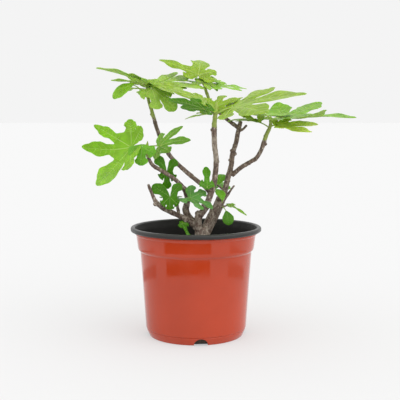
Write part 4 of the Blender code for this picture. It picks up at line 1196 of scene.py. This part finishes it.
def make_pot(materials):
    """The pot, terracotta outside and black over the rim and inside."""
    points, faces = lathe_part(pot_profile(), POT_SIDES)
    pot = mesh_piece("pot_shell", points, faces, materials)
    cutters = bpy.data.collections.new("notches")
    bpy.context.scene.collection.children.link(cutters)
    for index in range(NOTCH_COUNT):
        points, faces = notch_part(index)
        cutter = mesh_piece("notch", points, faces, [])
        work = bmesh.new()
        work.from_mesh(cutter.data)
        bmesh.ops.recalc_face_normals(work, faces=work.faces)
        work.to_mesh(cutter.data)
        work.free()
        bpy.context.collection.objects.unlink(cutter)
        cutters.objects.link(cutter)
    cut = pot.modifiers.new("notches", "BOOLEAN")
    cut.operation = "DIFFERENCE"
    cut.operand_type = "COLLECTION"
    cut.collection = cutters
    mesh = bpy.data.meshes.new_from_object(pot.evaluated_get(bpy.context.evaluated_depsgraph_get()))
    pot.modifiers.clear()
    pot.data = mesh
    for cutter in list(cutters.objects):
        bpy.data.objects.remove(cutter)
    bpy.data.collections.remove(cutters)
    line_up = (POT_HEIGHT - RIM_BAND - 0.3) * MILLIMETRE
    for face in mesh.polygons:
        radial = face.center.x * face.normal.x + face.center.y * face.normal.y
        distance = math.hypot(face.center.x, face.center.y) / MILLIMETRE
        facing_in = radial < -1e-6 or face.normal.z > 0.9
        low = face.center.z < NOTCH_HEIGHT * MILLIMETRE and face.normal.z > -0.99
        deep = low and distance < FOOT_RADIUS - 1.5
        if face.center.z > line_up and (radial > -1e-6 or face.normal.z > 0.5):
            face.material_index = RIM_BLACK
        else:
            face.material_index = INSIDE_BLACK if facing_in or deep else TERRACOTTA
    mesh.shade_smooth()
    mesh.set_sharp_from_angle(angle=math.radians(POT_CREASE))
    give(pot, "pot_plastic", "pot")


def soil_height(x, y):
    """The lumpy level of the soil."""
    lump = noise.fractal(Vector((x * 0.07, y * 0.07, 3.1)), 0.9, 2.1, 4)
    rough = noise.fractal(Vector((x * 0.35, y * 0.35, 9.4)), 0.8, 2.0, 3)
    mound = MOUND_HEIGHT * math.exp(-((x - TRUNK_X) ** 2 + y ** 2) / MOUND_SPREAD)
    return SOIL_HEIGHT - 1.6 + 1.5 * lump + 0.9 * rough + mound


def make_soil(materials):
    """The potting mix: a plug with a lumpy top, and crumbs lying on it."""
    luck = random.Random(SOIL_SEED)
    gap = POT_WALL + SOIL_GAP
    top_radius = WALL_TOP_RADIUS - gap - 0.3
    profile = [(0, POT_FLOOR + SOIL_GAP), (GROOVE_RADIUS - gap - 1.7, POT_FLOOR + SOIL_GAP)]
    profile += [(GROOVE_RADIUS - gap - 0.1, GROOVE_HEIGHT), (MIDDLE_RADIUS - gap - 0.1, MIDDLE_HEIGHT)]
    profile += [(top_radius - 0.2, SOIL_HEIGHT - 4)]
    profile += [(top_radius * (1 - k / SOIL_RINGS), SOIL_HEIGHT) for k in range(SOIL_RINGS)]
    profile += [(0, SOIL_HEIGHT)]
    points, faces = lathe_part(profile, SOIL_SIDES)
    top = points[:, 2] > SOIL_HEIGHT - 0.1
    points[top, 2] = [soil_height(x, y) for x, y in points[top, :2]]
    soil = mesh_piece("soil_plug", points, faces, [materials[0]])
    give(soil, "soil", "soil")
    crumbs = []
    for _ in range(CRUMB_COUNT):
        distance = (top_radius - 3) * math.sqrt(luck.random())
        turn = luck.uniform(0, 2 * math.pi)
        x, y = distance * math.cos(turn), distance * math.sin(turn)
        if math.hypot(x - TRUNK_X, y) < TRUNK_CLEAR:
            continue
        crumbs.append(crumb_part(x, y, luck, 1 if luck.random() < CHIP_SHARE else 0))
    points, faces, kinds = join_parts(crumbs)
    pieces = mesh_piece("soil_crumbs", points, faces, materials, kinds, 50)
    give(pieces, "soil", "soil")


def crumb_part(x, y, luck, kind):
    """One crumb of the mix, or one chip of bark, lying on the soil."""
    work = bmesh.new()
    bmesh.ops.create_icosphere(work, subdivisions=2, radius=1.0)
    size = luck.uniform(0.7, 2.3)
    flat = luck.uniform(0.25, 0.45) if kind else luck.uniform(0.6, 0.95)
    turn = luck.uniform(0, 6.28)
    long = luck.uniform(1.3, 2.2) if kind else luck.uniform(0.9, 1.3)
    shift = Vector((luck.uniform(0, 90), luck.uniform(0, 90), 0))
    points = []
    for vert in work.verts:
        bump = 1 + 0.35 * noise.noise(vert.co * 1.6 + shift)
        a, b, c = vert.co.x * size * long * bump, vert.co.y * size * bump, vert.co.z * size * flat * bump
        turned_x = x + a * math.cos(turn) - b * math.sin(turn)
        turned_y = y + a * math.sin(turn) + b * math.cos(turn)
        points.append((turned_x, turned_y, c))
    base = soil_height(x, y) + size * flat * 0.45
    faces = [tuple(vert.index for vert in face.verts) for face in work.faces]
    work.free()
    return np.array(points) + np.array([0, 0, base]), faces, [kind] * len(faces)


# The studio
def make_camera():
    """The photograph's own view."""
    lens = bpy.data.cameras.new("camera")
    lens.lens = CAMERA_LENS
    lens.sensor_width = CAMERA_SENSOR
    camera = bpy.data.objects.new("camera", lens)
    camera.location = CAMERA_PLACE
    camera.rotation_euler = (math.pi / 2 - CAMERA_DOWN, 0, 0)
    bpy.context.collection.objects.link(camera)
    bpy.context.scene.camera = camera


def make_floor():
    """A plain pale floor, lit softly so that it ends in the same pale grey as the room."""
    material = principled("floor_white", (FLOOR_SHARE, FLOOR_SHARE, FLOOR_SHARE), 0.9, Specular_IOR_Level=0.0)
    shader = material.node_tree.nodes["Principled BSDF"]
    shader.inputs["Emission Color"].default_value = (1.0, 1.0, 1.0, 1.0)
    shader.inputs["Emission Strength"].default_value = FLOOR_GLOW
    reach = FLOOR_REACH
    points = [(-reach, -reach, 0), (reach, -reach, 0), (reach, reach, 0), (-reach, reach, 0)]
    floor = mesh_piece("floor", points, [(0, 1, 2, 3)], [material])


def make_cards():
    """Dark cards on the floor round the pot, that only its glossy wall sees."""
    for index, (start, end, grey) in enumerate(CARDS):
        material = principled(f"card_{index}", (grey, grey, grey), 1.0, Specular_IOR_Level=0.0)
        points, faces = [], []
        for k in range(CARD_STEPS + 1):
            turn = math.radians(start + (end - start) * k / CARD_STEPS - 90.0)
            for reach in CARD_REACH:
                points.append((reach * math.cos(turn), reach * math.sin(turn), CARD_HEIGHT))
            if k:
                faces.append((2 * k - 2, 2 * k - 1, 2 * k + 1, 2 * k))
        card = mesh_piece(f"card_{index}", points, faces, [material])
        card.visible_camera = False
        card.visible_diffuse = False
        card.visible_shadow = False


def add_lobe(nodes, links, place, level, toward_light, sharpness, strength):
    """A soft wide lamp in one direction of the room's light, added to its level."""
    lean = nodes.new("ShaderNodeVectorMath")
    lean.operation = "DOT_PRODUCT"
    lean.inputs[1].default_value = Vector(toward_light).normalized()
    steps = [("MAXIMUM", 0.0), ("POWER", sharpness), ("MULTIPLY", strength)]
    links.new(place.outputs["Generated"], lean.inputs[0])
    value = lean.outputs["Value"]
    for operation, number in steps:
        step = nodes.new("ShaderNodeMath")
        step.operation = operation
        step.inputs[1].default_value = number
        links.new(value, step.inputs[0])
        value = step.outputs["Value"]
    total = nodes.new("ShaderNodeMath")
    total.operation = "ADD"
    links.new(level, total.inputs[0])
    links.new(value, total.inputs[1])
    return total.outputs["Value"]


def make_light():
    """Soft light from a pale room, brighter overhead and from wide lamps, before a plain pale backdrop."""
    world = bpy.data.worlds.new("studio")
    bpy.context.scene.world = world
    world.use_nodes = True
    nodes, links = world.node_tree.nodes, world.node_tree.links
    room = nodes["Background"]
    room.inputs["Color"].default_value = (1.0, 1.0, 1.0, 1.0)
    place = nodes.new("ShaderNodeTexCoord")
    base = nodes.new("ShaderNodeMath")
    base.inputs[0].default_value = LIGHT_LEVEL
    base.inputs[1].default_value = 0.0
    level = base.outputs["Value"]
    for toward_light, sharpness, strength in LAMPS:
        level = add_lobe(nodes, links, place, level, toward_light, sharpness, strength)
    backdrop = nodes.new("ShaderNodeBackground")
    backdrop.inputs["Color"].default_value = (ROOM_GREY, ROOM_GREY, ROOM_GREY, 1.0)
    path = nodes.new("ShaderNodeLightPath")
    pick = nodes.new("ShaderNodeMixShader")
    links.new(level, room.inputs["Strength"])
    links.new(path.outputs["Is Camera Ray"], pick.inputs["Fac"])
    links.new(room.outputs["Background"], pick.inputs[1])
    links.new(backdrop.outputs["Background"], pick.inputs[2])
    links.new(pick.outputs["Shader"], nodes["World Output"].inputs["Surface"])
    bpy.context.scene.view_settings.view_transform = "Standard"


def main():
    """Build every piece of the plant, then its studio."""
    leaf_materials = make_leaf_materials()
    stalk_material = make_stalk_material()
    luck = random.Random(LEAF_SEED)
    make_camera()
    make_floor()
    make_cards()
    make_light()
    make_pot([
        make_pot_outside(),
        make_pot_black("pot_rim", 0.34, 0.5),
        make_pot_black("pot_inside", 0.5, 0.16),
    ])
    make_soil([bark_material(name, *look) for name, look in SOILS.items()])
    make_bark([bark_material(name, *look) for name, look in BARKS.items()])
    for name, spec in FOLIAGE.items():
        make_foliage(name, spec, leaf_materials, stalk_material, luck)


main()
